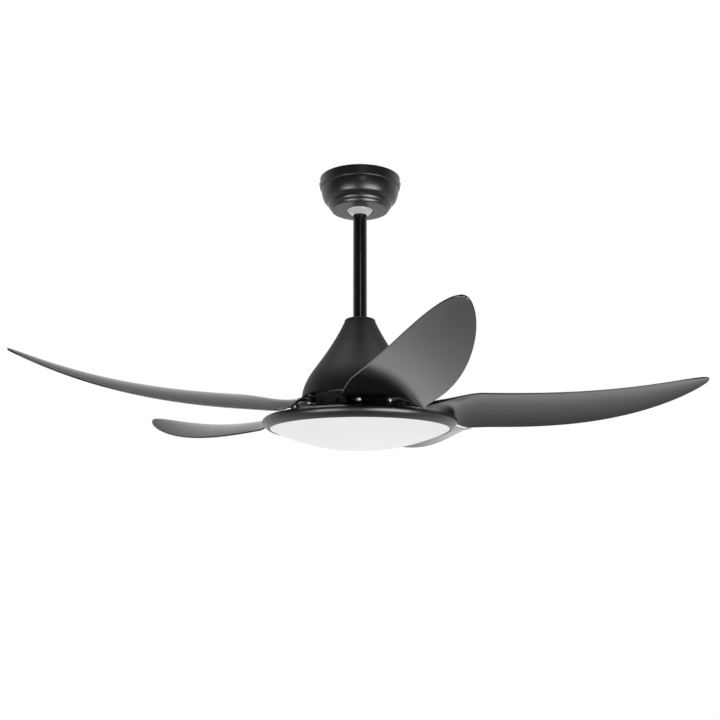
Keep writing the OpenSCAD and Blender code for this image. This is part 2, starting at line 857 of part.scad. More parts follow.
// Plug on the harness, above the ball
module harness_plug() {
    color("white")
    difference() {
        translate([-6, wire_y - 4, rod_top_z + 4]) cube([12, 8, 9]);
        for (i = [-1:1])
            translate([i * 3.4 - 1, wire_y - 1, rod_top_z + 7]) cube([2, 2, 8]);
    }
}

// ---------------------------------------------------------------- coupling cover

// Conical cover of the coupler, which slides up the rod
module coupling_cover() {
    bottom = seam_z + seam_gap;
    color([0.12, 0.12, 0.12])
    difference() {
        rotate_extrude()
            polygon(concat(
                [[0, cover_top_z + 0.6], [cover_top_r - 7, cover_top_z]],
                arc([cover_top_r - 5, cover_top_z - 5], 5, 80, 15, 4),
                flare_between(cover_top_z - 5.6, bottom, 16),
                [[0, bottom]]
            ));
        rotate_extrude()
            polygon(concat(
                [[0, cover_top_z - 3]],
                flare_between(cover_top_z - 7, bottom, 12, shell_wall),
                [[flare_r(bottom) - shell_wall, bottom - eps], [0, bottom - eps]]
            ));
        translate([0, 0, cover_top_z - 6]) cylinder(r = rod_r + 0.4, h = 12);
    }
}

// ---------------------------------------------------------------- rotor

// Upper half of the rotor: can with the upper bearing's seat and screw ears
module rotor_can() {
    color("silver")
    difference() {
        union() {
            translate([0, 0, carrier_top_z]) cylinder(r = can_r, h = can_top_z - carrier_top_z);
            translate([0, 0, can_top_z - 6]) cylinder(r = boss_r, h = 15);
            around([for (i = [0:blade_count - 1]) blade_first + i * blade_step])
                translate([rotor_screw_r, 0, carrier_top_z]) cylinder(r = 6, h = 8);
        }
        difference() {
            translate([0, 0, carrier_top_z - eps])
                cylinder(r = can_r - can_wall, h = can_top_z - can_plate_t - carrier_top_z + eps);
            translate([0, 0, can_top_z - 6]) cylinder(r = boss_r, h = 15);
        }
        translate([0, 0, can_top_z - 10])
            cylinder(r = bearing_out_r, h = upper_bearing_z + bearing_w / 2 - can_top_z + 10);
        translate([0, 0, can_top_z]) cylinder(r = bearing_out_r - 2, h = 20);
        around([for (i = [0:blade_count - 1]) blade_first + i * blade_step])
            translate([rotor_screw_r, 0, carrier_top_z - eps]) cylinder(r = 2, h = 7);
    }
}

// Curved magnets bonded inside the can
module rotor_magnets() {
    color("dimgray")
    around([for (i = [0:magnet_count - 1]) i * 360 / magnet_count])
        rotate_extrude(angle = 0.9 * 360 / magnet_count)
            translate([magnet_r - magnet_t, stack_z - 4]) square([magnet_t, stack_h + 8]);
}

// Screws that join the can to the blade carrier, heads below
module rotor_screws() {
    color("silver")
    around([for (i = [0:blade_count - 1]) blade_first + i * blade_step])
        translate([rotor_screw_r, 0, carrier_top_z - carrier_t]) pan_screw(2, carrier_t + 6, 3.8, 2.6);
}

// Disc that carries the blades, with the lower bearing's seat and an interrupted rim
module blade_carrier() {
    rim_z = carrier_top_z - carrier_rim_h;
    color([0.13, 0.13, 0.13])
    difference() {
        union() {
            translate([0, 0, carrier_top_z - carrier_t]) cylinder(r = carrier_r, h = carrier_t);
            translate([0, 0, rim_z]) ring(carrier_r, carrier_r - carrier_rim_t, carrier_rim_h);
            translate([0, 0, carrier_top_z - 11]) cylinder(r = boss_r, h = 14);
            around([for (i = [0:blade_count - 1]) blade_first + i * blade_step])
                for (s = [-1, 1])
                    translate([screw_u, s * screw_v, root_z + root_t / 2])
                        cylinder(r = 8, h = carrier_top_z - carrier_t - root_z - root_t / 2 + eps);
        }
        // an opening in the rim for each blade root, open downwards
        around([for (i = [0:blade_count - 1]) blade_first + i * blade_step])
            translate([root_in, -pocket_half, rim_z - eps])
                cube([40, 2 * pocket_half, root_z + root_t / 2 - rim_z + eps]);
        around([for (i = [0:blade_count - 1]) blade_first + i * blade_step]) {
            difference() {
                translate([root_in, -pocket_half, root_z])
                    cube([40, 2 * pocket_half, carrier_top_z - carrier_t - root_z]);
                for (s = [-1, 1])
                    translate([screw_u, s * screw_v, root_z]) cylinder(r = 8, h = 20);
            }
            for (s = [-1, 1])
                translate([screw_u, s * screw_v, root_z])
                    cylinder(r = blade_screw_r, h = 11);
            translate([rotor_screw_r, 0, carrier_top_z - carrier_t - eps])
                cylinder(r = 2.2, h = carrier_t + 2 * eps);
        }
        // cooling slots between the blades
        around([for (i = [0:blade_count - 1]) blade_first + (i + 0.5) * blade_step])
            for (s = [-1, 1])
                translate([carrier_r - 12, s * 14 - 2.5, rim_z - eps]) cube([20, 5, 9]);
        translate([0, 0, lower_bearing_z - bearing_w / 2]) cylinder(r = bearing_out_r, h = 30);
        translate([0, 0, rim_z]) cylinder(r = bearing_out_r - 2, h = 40);
    }
}

// --- blade shape: x runs out along the blade, its leading edge is at -y and higher ---

// Share of the way from the flat root to the full blade section. The trailing side
// (w = 1) gets there sooner than the leading side (w = -1).
function blade_share(u, w = 0) = mix(
    ease((u - twist_from) / (twist_to - twist_from)),
    ease((u - twist_from) / (trail_twist_to - twist_from)),
    (w + 1) / 2
);

// Chord of the full blade at radius u
function blade_width(u) =
    let (x = max((u - 0.3 * tip_r) / (0.7 * tip_r), 0))
    blade_chord * pow(max(1 - pow(x, 2.8), 0), 0.545);

// Half widths of the outline at radius u, on the leading and on the trailing side
function lead_half(u) =
    mix(root_half, blade_width(u) / 2, ease((u - root_in - 8) / 36));
function trail_half(u) =
    mix(root_half, blade_width(u) / 2, ease((u - twist_from) / 46))
    + heel * exp(-pow((u - heel_u) / 32, 2));

// Height of the blade's middle line at radius u
function blade_mid(u) =
    let (x = max((u - twist_from) / (tip_r - twist_from), 0))
    root_z - root_dip * blade_share(u) - 24 * x + tip_rise * pow(x, 3);

// Thickness at chord position w, which is -1 at the leading and 1 at the trailing edge
function blade_thick(u, w) =
    let (across = mix(0.8, 1, sqrt(max(1 - pow(w, 4), 0))), along = 1 - 0.2 * u / tip_r)
    mix(root_t, blade_t * across * along, blade_share(u));

// One point: side is 1 on top and -1 underneath
function blade_point(u, w, side) =
    let (
        a = blade_pitch * blade_share(u, w),
        v = w * (w < 0 ? lead_half(u) : trail_half(u)),
        rise = blade_camber * blade_width(u) * blade_share(u) * (1 - w * w)
            + side * blade_thick(u, w) / 2
    )
    [u, v * cos(a) + rise * sin(a), blade_mid(u) - v * sin(a) + rise * cos(a)];

blade_cross = 9;
function blade_cross_at(j) = -cos(180 * j / blade_cross);
function blade_ring(u) = concat(
    [for (j = [0:blade_cross]) blade_point(u, blade_cross_at(j), 1)],
    [for (j = [blade_cross:-1:0]) blade_point(u, blade_cross_at(j), -1)]
);
blade_root_steps = 13;
blade_span_steps = 16;
blade_stations = concat(
    [for (i = [0:blade_root_steps - 1]) mix(root_in, twist_to, i / blade_root_steps)],
    [for (i = [0:blade_span_steps])
        mix(twist_to, tip_r - 0.6, 1 - pow(1 - i / blade_span_steps, 1.7))]
);

module blade_body() {
    rings = [for (u = blade_stations) blade_ring(u)];
    m = 2 * (blade_cross + 1);
    n = len(rings);
    points = [for (r = rings) each r];
    sides = [
        for (i = [0:n - 2]) for (j = [0:m - 1])
            let (a = i * m + j, b = i * m + (j + 1) % m, c = a + m, d = b + m)
            each [[a, b, d], [a, d, c]]
    ];
    // each end is closed with strips between its top and bottom points
    ends = [
        for (j = [0:blade_cross - 1])
            let (a = j, b = j + 1, c = m - 1 - j, d = m - 2 - j, e = (n - 1) * m)
            each [[a, d, b], [a, c, d], [e + a, e + b, e + d], [e + a, e + d, e + c]]
    ];
    polyhedron(points = points, faces = concat(sides, ends), convexity = 6);
}

module blade(i) {
    color([0.16, 0.16, 0.17])
    rotate([0, 0, blade_first + i * blade_step])
        difference() {
            blade_body();
            for (s = [-1, 1])
                translate([screw_u, s * screw_v, root_z - root_t])
                    cylinder(r = blade_screw_r + 0.3, h = 2 * root_t);
        }
}

module blade_1() { blade(0); }
module blade_2() { blade(1); }
module blade_3() { blade(2); }
module blade_4() { blade(3); }
module blade_5() { blade(4); }

module at_blade_screws() {
    for (i = [0:blade_count - 1])
        rotate([0, 0, blade_first + i * blade_step])
            for (s = [-1, 1])
                translate([screw_u, s * screw_v, root_z - root_t / 2]) children();
}

// Two screws a blade, driven up into the carrier
module blade_screws() {
    color("silver")
    at_blade_screws()
        translate([0, 0, -washer_t]) pan_screw(blade_screw_r, washer_t + root_t + 8, 4.4, 3);
}

// Washers under the blade screws' heads
module blade_washers() {
    color("gainsboro")
    at_blade_screws()
        translate([0, 0, -washer_t]) ring(6, blade_screw_r, washer_t);
}

// ---------------------------------------------------------------- diffuser

// Half section of the diffuser: shallow dome outside, skirt, shallow dome inside
function diffuser_outline() =
    let (
        n = 16,
        centre = [0, dome_z - dome_h + dome_sphere_r],
        out_angle = asin(diffuser_r / dome_sphere_r),
        in_r = dome_sphere_r - dome_t,
        in_angle = asin((diffuser_r - skirt_t) / in_r)
    )
    concat(
        [[0, dome_z - dome_h]],
        arc(centre, dome_sphere_r, out_angle / n - 90, out_angle - 90, n - 1),
        [[diffuser_r, dome_z + skirt_h], [diffuser_r - skirt_t, dome_z + skirt_h]],
        arc(centre, in_r, in_angle - 90, in_angle / n - 90, n - 1),
        [[0, dome_z - dome_h + dome_t]]
    );

// Opal dome with a skirt; L-shaped slots in the skirt take the housing's lugs
module diffuser() {
    skirt_top = dome_z + skirt_h;
    slot_bot = lug_z - lug_gap;
    slot_h = lug_h + 2 * lug_gap;
    color("white")
    difference() {
        rotate_extrude() polygon(diffuser_outline());
        around(lug_azimuths) {
            rotate([0, 0, -twist_lock - lug_angle / 2 - 0.3])
                rotate_extrude(angle = twist_lock + lug_angle + 0.6)
                    translate([diffuser_r - skirt_t - 1, slot_bot]) square([skirt_t + 2, slot_h]);
            rotate([0, 0, -twist_lock - lug_angle / 2 - 0.3])
                rotate_extrude(angle = lug_angle + 0.6)
                    translate([diffuser_r - skirt_t - 1, slot_bot])
                        square([skirt_t + 2, skirt_top - slot_bot + eps]);
        }
    }
}

hanging_bracket();
canopy();
canopy_screws();
remote_receiver();
receiver_screws();
terminal_block();
earth_screw();
hanger_ball();
ball_cross_pin();
ball_set_screw();
downrod();
shaft_coupler();
coupler_pin();
cotter_clip();
coupler_set_screws();
motor_housing();
housing_screws();
motor_shaft();
stator_hub();
stator_core();
stator_windings();
motor_board();
upper_bearing_inner_ring();
lower_bearing_inner_ring();
bearing_spacer();
light_mount_plate();
shaft_nut();
light_housing();
light_housing_screws();
led_driver();
led_board();
led_board_screws();
led_chips();
wiring_harness();
harness_plug();
coupling_cover();
rotor_can();
rotor_magnets();
rotor_screws();
blade_carrier();
upper_bearing_outer_ring();
lower_bearing_outer_ring();
blade_1();
blade_2();
blade_3();
blade_4();
blade_5();
blade_screws();
blade_washers();
upper_bearing_cage();
upper_bearing_balls();
lower_bearing_cage();
lower_bearing_balls();
diffuser();
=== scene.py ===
"""Looks of a five-blade ceiling fan with a round light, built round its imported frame.

Lengths are in metres and in the frame's own axes: the origin is on the ceiling, +Z points up
and the blades turn about Z. Each sub-assembly is a class that builds the shells that need a
smooth surface and dresses the machined pieces that the frame already holds.
"""

import logging
import math
from collections.abc import Callable, Iterable, Mapping, Sequence
from dataclasses import dataclass, field
from enum import Enum
from functools import cache
from typing import Any

import bmesh
import bpy
import numpy as np
from mathutils import Matrix, Vector


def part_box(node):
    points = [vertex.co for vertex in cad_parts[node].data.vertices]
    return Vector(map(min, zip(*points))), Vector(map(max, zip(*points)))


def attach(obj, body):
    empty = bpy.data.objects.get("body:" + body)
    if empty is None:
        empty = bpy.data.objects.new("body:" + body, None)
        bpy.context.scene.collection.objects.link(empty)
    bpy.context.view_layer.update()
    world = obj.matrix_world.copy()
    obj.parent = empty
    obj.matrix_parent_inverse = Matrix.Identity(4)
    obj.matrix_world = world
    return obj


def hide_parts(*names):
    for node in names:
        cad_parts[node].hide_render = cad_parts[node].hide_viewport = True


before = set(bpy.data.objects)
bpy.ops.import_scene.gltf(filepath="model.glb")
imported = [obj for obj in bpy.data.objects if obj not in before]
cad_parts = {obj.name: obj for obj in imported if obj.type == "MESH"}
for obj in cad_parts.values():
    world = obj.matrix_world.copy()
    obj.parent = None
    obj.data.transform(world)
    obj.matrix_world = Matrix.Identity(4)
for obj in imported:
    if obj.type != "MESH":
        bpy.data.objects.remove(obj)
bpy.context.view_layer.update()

LOG = logging.getLogger("ceiling_fan")
Pair = tuple[float, float]
Profile = list[Pair]
Colour = tuple[float, float, float]
Hue = Colour | bpy.types.NodeSocket
FULL_TURN = 2 * math.pi
WHITE = (1.0, 1.0, 1.0, 1.0)
UNIFORM = (1.0, 1.0, 1.0)


# ------------------------------------------------------------------------------- shader maths


def operator(
    operation: str, reflected: bool = False
) -> Callable[["Signal", "Signal | float"], "Signal"]:
    """A Python operator of Signal, as one Math node.

    Args:
        operation: the node's operation.
        reflected: whether the signal stands on the operator's right.

    Returns:
        The method.
    """

    def apply(signal: "Signal", other: "Signal | float") -> "Signal":
        """Adds the node."""
        values = (other, signal) if reflected else (signal, other)
        return signal.tree.maths(operation, *values)

    return apply


class Signal:
    """A value socket that adds Math nodes when it stands in an expression."""

    def __init__(self, tree: "NodeTree", socket: bpy.types.NodeSocket) -> None:
        """Wraps one output socket of a tree."""
        self.tree, self.socket = tree, socket

    __add__ = __radd__ = operator("ADD")
    __mul__ = __rmul__ = operator("MULTIPLY")
    __sub__, __rsub__ = operator("SUBTRACT"), operator("SUBTRACT", True)
    __truediv__, __rtruediv__ = operator("DIVIDE"), operator("DIVIDE", True)
    __pow__, __rpow__ = operator("POWER"), operator("POWER", True)

    def maths(self, operation: str, *others: "Signal | float") -> "Signal":
        """Adds one Math node, with this value in its first socket."""
        return self.tree.maths(operation, self, *others)

    def above(self, limit: float, softness: float) -> "Signal":
        """Mask that rises from 0 to 1 round a limit, over the width of its softness."""
        ramp = (self - limit) / softness + 0.5
        return ramp.maths("MINIMUM", 1.0).maths("MAXIMUM", 0.0)


class NodeTree:
    """A node tree that is built from expressions."""

    def __init__(self, tree: bpy.types.ShaderNodeTree, coordinates: str) -> None:
        """Empties a tree.

        Args:
            tree: the tree of a material or a world.
            coordinates: the texture coordinates that its patterns use.
        """
        self.tree = tree
        self.tree.nodes.clear()
        self.place = self.node("TexCoord").outputs[coordinates]

    def node(
        self,
        kind: str,
        settings: Mapping[str, Any] | None = None,
        inputs: Mapping[str | int, Any] | None = None,
    ) -> bpy.types.Node:
        """Adds a node, with its settings made before its sockets are filled.

        Args:
            kind: the node's type without its ShaderNode prefix.
            settings: the node's own properties, such as its operation.
            inputs: values, sockets or signals, by socket name or number.

        Returns:
            The node.
        """
        made = self.tree.nodes.new("ShaderNode" + kind)
        for key, value in (settings or {}).items():
            setattr(made, key, value)
        for key, value in (inputs or {}).items():
            source = value.socket if isinstance(value, Signal) else value
            if isinstance(source, bpy.types.NodeSocket):
                self.tree.links.new(source, made.inputs[key])
            else:
                made.inputs[key].default_value = source
        return made

    def maths(self, operation: str, *values: "Signal | float") -> Signal:
        """Adds one Math node, with the values in its sockets' order."""
        made = self.node("Math", {"operation": operation}, dict(enumerate(values)))
        return Signal(self, made.outputs[0])

    def split(self, vector: bpy.types.NodeSocket) -> tuple[Signal, Signal, Signal]:
        """The x, y and z of a vector."""
        parts = self.node("SeparateXYZ", inputs={0: vector})
        return tuple(Signal(self, parts.outputs[i]) for i in range(3))

    def axes(self, centre: Colour = (0.0, 0.0, 0.0)) -> tuple[Signal, Signal, Signal]:
        """The point's own x, y and z, counted from a centre."""
        offset = self.node("VectorMath", {"operation": "SUBTRACT"}, {0: self.place, 1: centre})
        return self.split(offset.outputs[0])


def rgba(colour: Hue) -> Any:
    """A colour with its alpha, or a socket as it is."""
    return colour if isinstance(colour, bpy.types.NodeSocket) else (*colour, 1.0)


def shaded(colour: Colour, factor: float, lift: float = 0.0) -> Colour:
    """A colour made lighter or darker."""
    return tuple(channel * factor + lift for channel in colour)


class Recipe(NodeTree):
    """The node tree of one material, with its patterns in the piece's own coordinates."""

    def __init__(self, name: str) -> None:
        """Starts an empty material.

        Args:
            name: the material's name.
        """
        self.material = bpy.data.materials.new(name)
        self.material.use_nodes = True
        super().__init__(self.material.node_tree, "Object")

    def grain(self, spot: bpy.types.NodeSocket, scale: float, detail: float) -> Signal:
        """Noise round 0.5 at a spot, with its patches per metre and its octaves."""
        made = self.node("TexNoise", inputs={"Vector": spot, "Scale": scale, "Detail": detail})
        return Signal(self, made.outputs[0])

    def noise(self, scale: float, detail: float = 2.0, stretch: Colour = UNIFORM) -> Signal:
        """Noise on the piece; a small factor in stretch draws its patches out that way."""
        spread = self.node("VectorMath", {"operation": "MULTIPLY"}, {0: self.place, 1: stretch})
        return self.grain(spread.outputs[0], scale, detail)

    def turned(self, centre: Colour, scale: float) -> Signal:
        """Fine rings round an upright axis, as a lathe leaves them.

        Args:
            centre: a point on the axis.
            scale: rings per metre.

        Returns:
            A value round 0.5.
        """
        x, y, z = self.axes(centre)
        spot = self.node("CombineXYZ", inputs={0: (x * x + y * y) ** 0.5, 1: z, 2: 0.0})
        return self.grain(spot.outputs[0], scale, 1.0)

    def blend(self, low: Hue, high: Hue, factor: Signal) -> bpy.types.NodeSocket:
        """Colour between two colours, where the factor is the share of the second."""
        inputs = {0: factor, 6: rgba(low), 7: rgba(high)}
        return self.node("Mix", {"data_type": "RGBA"}, inputs).outputs[2]

    def bump(self, height: Signal, depth: float) -> bpy.types.NodeSocket:
        """Normal of a rough surface, whose height of 1 stands out by the depth in metres."""
        return self.node("Bump", inputs={"Distance": depth, "Height": height}).outputs[0]

    def finish(
        self,
        colour: Hue,
        roughness: Signal | float,
        normal: bpy.types.NodeSocket | None = None,
        metallic: float = 0.0,
        **fixed: Any,
    ) -> bpy.types.Material:
        """Ends the tree with one principled surface.

        Args:
            colour: base colour.
            roughness: roughness.
            normal: bumped normal, if there is one.
            metallic: 1 for bare metal.
            fixed: other sockets' constants, with underscores for the spaces of their names.

        Returns:
            The material.
        """
        inputs: dict[str | int, Any] = {
            "Base Color": rgba(colour), "Roughness": roughness, "Metallic": metallic,
        }
        if normal is not None:
            inputs["Normal"] = normal
        inputs.update({key.replace("_", " "): value for key, value in fixed.items()})
        surface = self.node("BsdfPrincipled", inputs=inputs)
        self.node("OutputMaterial", inputs={"Surface": surface.outputs[0]})
        return self.material


# ------------------------------------------------------------------------------------ finishes


class Sheen(Enum):
    """How much a painted or moulded surface shines."""

    MATT = 0.52
    SATIN = 0.36
    SEMI = 0.33
    GLOSS = 0.2


@dataclass(frozen=True)
class Finish:
    """A surface finish, from which a material is made."""

    name: str
    colour: Colour

    def make(self) -> bpy.types.Material:
        """The material."""
        raise NotImplementedError


@cache
def material_of(finish: Finish) -> bpy.types.Material:
    """The finish's material, which is made only once."""
    return finish.make()


@dataclass(frozen=True)
class Paint(Finish):
    """Sprayed or powder-coated paint with a faint orange peel."""

    sheen: Sheen
    peel: float = 0.00003
    peel_scale: float = 420.0

    def make(self) -> bpy.types.Material:
        """The material."""
        recipe = Recipe(self.name)
        cloud = recipe.noise(26.0, 3.0)
        grain = recipe.noise(self.peel_scale, 2.0)
        return recipe.finish(
            recipe.blend(self.colour, shaded(self.colour, 1.35, 0.002), cloud),
            self.sheen.value + (cloud - 0.5) * 0.1 + (grain - 0.5) * 0.05,
            recipe.bump(grain, self.peel),
        )


@dataclass(frozen=True)
class Moulding(Finish):
    """Injection-moulded plastic with a fine spark-eroded texture."""

    sheen: Sheen
    texture: float = 0.00002
    texture_scale: float = 1600.0
    glow: float = 0.0
    specular: float = 0.5

    def make(self) -> bpy.types.Material:
        """The material."""
        recipe = Recipe(self.name)
        flow = recipe.noise(14.0, 2.0, (1.0, 1.0, 0.4))
        grain = recipe.noise(self.texture_scale, 1.0)
        return recipe.finish(
            recipe.blend(self.colour, shaded(self.colour, 1.2, 0.002), flow),
            self.sheen.value + (flow - 0.5) * 0.08 + (grain - 0.5) * 0.1,
            recipe.bump(grain, self.texture),
            Specular_IOR_Level=self.specular,
            Subsurface_Weight=self.glow,
            Subsurface_Radius=(0.004, 0.004, 0.004),
        )


@dataclass(frozen=True)
class Opal(Finish):
    """Milky diffuser plastic, even all over, with the faint ripple of a vacuum forming and a faint
    painted glow.
    """

    def make(self) -> bpy.types.Material:
        """The material."""
        recipe = Recipe(self.name)
        ripple = recipe.noise(9.0, 1.0)
        frost = recipe.noise(2200.0, 1.0)
        return recipe.finish(
            recipe.blend(self.colour, shaded(self.colour, 1.03), ripple),
            0.34 + frost * 0.08,
            recipe.bump(frost, 0.000008),
            Subsurface_Weight=0.25,
            Subsurface_Radius=(0.01, 0.01, 0.01),
            # Painted glow: a faint even emission that brightens the opal, with no lit lamp behind
            # it.
            Emission_Color=WHITE,
            Emission_Strength=0.02,
        )


@dataclass(frozen=True)
class Plated(Finish):
    """Zinc or oxide on sheet steel, with the faint spangle of the bath."""

    tint: Colour
    roughness: float = 0.3

    def make(self) -> bpy.types.Material:
        """The material."""
        recipe = Recipe(self.name)
        spangle = recipe.node(
            "TexVoronoi", inputs={"Vector": recipe.place, "Scale": 160.0, "Randomness": 1.0}
        )
        patch = Signal(recipe, recipe.node(
            "RGBToBW", inputs={0: spangle.outputs["Color"]}
        ).outputs[0])
        scuff = recipe.noise(90.0, 4.0, (1.0, 0.12, 1.0))
        return recipe.finish(
            recipe.blend(self.colour, self.tint, patch * 0.6 + scuff * 0.4),
            self.roughness + (patch - 0.5) * 0.12 + (scuff - 0.5) * 0.22,
            recipe.bump(scuff, 0.00002),
            metallic=1.0,
        )


@dataclass(frozen=True)
class Turned(Finish):
    """Steel or brass turned or ground round an upright axis."""

    roughness: float
    centre: Colour = (0.0, 0.0, 0.0)
    ring_scale: float = 2600.0

    def make(self) -> bpy.types.Material:
        """The material."""
        recipe = Recipe(self.name)
        rings = recipe.turned(self.centre, self.ring_scale)
        stain = recipe.noise(60.0, 3.0)
        return recipe.finish(
            recipe.blend(shaded(self.colour, 0.82), self.colour, stain),
            self.roughness + (rings - 0.5) * 0.2 + (stain - 0.5) * 0.08,
            recipe.bump(rings, 0.00002),
            metallic=1.0,
        )


@dataclass(frozen=True)
class Cast(Finish):
    """Die-cast or sintered metal with a sandy skin."""

    roughness: float = 0.5
    grain_scale: float = 750.0

    def make(self) -> bpy.types.Material:
        """The material."""
        recipe = Recipe(self.name)
        sand = recipe.noise(self.grain_scale, 3.0)
        flow = recipe.noise(35.0, 2.0)
        return recipe.finish(
            recipe.blend(shaded(self.colour, 0.75), self.colour, flow * 0.5 + sand * 0.5),
            self.roughness + (sand - 0.5) * 0.2,
            recipe.bump(sand, 0.00006),
            metallic=1.0,
        )


@dataclass(frozen=True)
class Stacked(Finish):
    """Thin sheets or windings seen edge on, as fine even lines."""

    gap: Colour
    pitch: float
    upright: bool
    roughness: float = 0.38

    def make(self) -> bpy.types.Material:
        """The material."""
        recipe = Recipe(self.name)
        x, y, z = recipe.axes()
        across = z if self.upright else (x * x + y * y) ** 0.5
        wave = (across * (FULL_TURN / self.pitch)).maths("SINE") * 0.5 + 0.5
        tarnish = recipe.noise(70.0, 3.0)
        return recipe.finish(
            recipe.blend(self.gap, self.colour, wave ** 0.5),
            self.roughness + (tarnish - 0.5) * 0.2,
            recipe.bump(wave, self.pitch * 0.3),
            metallic=1.0,
        )


@dataclass(frozen=True)
class CircuitMask(Finish):
    """Solder mask over copper tracks, with dark epoxy on what stands above the board."""

    track: Colour
    top: float
    chip: Colour = (0.015, 0.015, 0.016)

    def make(self) -> bpy.types.Material:
        """The material."""
        recipe = Recipe(self.name)
        cells = recipe.node(
            "TexVoronoi",
            {"feature": "DISTANCE_TO_EDGE"},
            {"Vector": recipe.place, "Scale": 170.0, "Randomness": 0.45},
        )
        tracks = 1.0 - Signal(recipe, cells.outputs["Distance"]).above(0.09, 0.05)
        _, _, z = recipe.axes()
        raised = z.above(self.top, 0.0001)
        board = recipe.blend(self.colour, self.track, tracks)
        return recipe.finish(
            recipe.blend(board, self.chip, raised),
            0.28 + raised * 0.3,
            recipe.bump(tracks * (1.0 - raised), 0.00004),
        )


@dataclass(frozen=True)
class Braid(Finish):
    """Woven sleeve round an upright lead."""

    fleck: Colour
    centre: Colour
    strands: int = 10
    lay: float = 0.009

    def make(self) -> bpy.types.Material:
        """The material."""
        recipe = Recipe(self.name)
        x, y, z = recipe.axes(self.centre)
        turn = y.maths("ARCTAN2", x) * self.strands
        climb = z * (FULL_TURN * self.strands / (self.lay * 5))
        weave = (turn + climb).maths("SINE") * (turn - climb).maths("SINE") * 0.5 + 0.5
        fuzz = recipe.noise(1800.0, 2.0)
        return recipe.finish(
            recipe.blend(self.colour, self.fleck, weave * fuzz),
            0.62 + (fuzz - 0.5) * 0.2,
            recipe.bump(weave, 0.0003),
            Sheen_Weight=0.2,
        )


ENAMEL = Paint("black_enamel", (0.006, 0.006, 0.0065), Sheen.SEMI, 0.000004, 160.0)
ROD_ENAMEL = Paint("black_gloss_enamel", (0.004, 0.004, 0.0045), Sheen.GLOSS, 0.0000004, 60.0)
SHELL = Moulding("black_shell", (0.005, 0.005, 0.0053), Sheen.MATT, 0.00001, specular=0.2)
BLADE_SKIN = Moulding("black_blade", (0.009, 0.009, 0.0095), Sheen.GLOSS, 0.000003, 900.0)
NYLON = Moulding("white_nylon", (0.82, 0.82, 0.81), Sheen.SATIN, glow=0.2)
WHITE_MOULDING = Moulding("white_moulding", (0.78, 0.78, 0.76), Sheen.MATT, glow=0.1)
GREY_CASE = Moulding("grey_case", (0.03, 0.03, 0.032), Sheen.MATT, 0.00005, 900.0)
BROWN_NYLON = Moulding("brown_nylon", (0.25, 0.12, 0.05), Sheen.SATIN, glow=0.1)
PHOSPHOR = Moulding("led_phosphor", (0.92, 0.68, 0.1), Sheen.MATT, 0.00003, 2500.0, 0.2)
OPAL = Opal("opal", (0.8, 0.8, 0.8))
ZINC = Plated("zinc_steel", (0.6, 0.61, 0.62), (0.72, 0.73, 0.76))
BLACK_OXIDE = Plated("black_oxide", (0.05, 0.05, 0.055), (0.09, 0.09, 0.1), 0.36)
GREEN_SCREW = Plated("green_screw", (0.04, 0.3, 0.09), (0.08, 0.42, 0.16), 0.34)
GROUND_STEEL = Turned("ground_steel", (0.74, 0.75, 0.76), 0.2)
CAST_ALUMINIUM = Cast("cast_aluminium", (0.6, 0.61, 0.62))
MAGNET = Cast("magnet", (0.1, 0.1, 0.105), 0.45, 1500.0)
LAMINATION = Stacked("lamination", (0.42, 0.43, 0.45), (0.12, 0.1, 0.09), 0.0005, True)
COPPER = Stacked("copper_wire", (0.78, 0.33, 0.14), (0.3, 0.1, 0.04), 0.0007, False)


# -------------------------------------------------------------------------------- mesh helpers


def arc(centre: Pair, radius: float, start: float, end: float, steps: int) -> Profile:
    """Points of an arc between two angles in degrees, as a number of chords."""
    angles = (math.radians(start + (end - start) * i / steps) for i in range(steps + 1))
    return [(centre[0] + radius * math.cos(a), centre[1] + radius * math.sin(a)) for a in angles]


def cubic(start: Pair, end: Pair, pulls: tuple[Pair, Pair], steps: int) -> Profile:
    """Points of a cubic curve.

    Args:
        start: its first point.
        end: its last point.
        pulls: how far the two control points stand from its ends.
        steps: number of chords.

    Returns:
        The points, both ends included.
    """
    a, d = np.array(start), np.array(end)
    b, c = a + pulls[0], d + pulls[1]
    found = []
    for i in range(steps + 1):
        t = i / steps
        p = (1 - t) ** 3 * a + 3 * (1 - t) ** 2 * t * b + 3 * (1 - t) * t * t * c + t ** 3 * d
        found.append((float(p[0]), float(p[1])))
    return found


def filleted(corners: Sequence[tuple[float, float, float]], steps: int = 5) -> Profile:
    """Closed outline whose corners are rounded.

    Args:
        corners: radius, height and fillet radius of each corner.
        steps: number of chords of a fillet.

    Returns:
        The outline's points.
    """
    found: Profile = []
    count = len(corners)
    for i, (r, z, size) in enumerate(corners):
        here = Vector((r, z))
        before = Vector(corners[i - 1][:2]) - here
        after = Vector(corners[(i + 1) % count][:2]) - here
        if size <= 0:
            found.append((r, z))
            continue
        start, end = here + before.normalized() * size, here + after.normalized() * size
        for k in range(steps + 1):
            t = k / steps
            p = start * (1 - t) ** 2 + here * 2 * t * (1 - t) + end * t * t
            found.append((p.x, p.y))
    return found


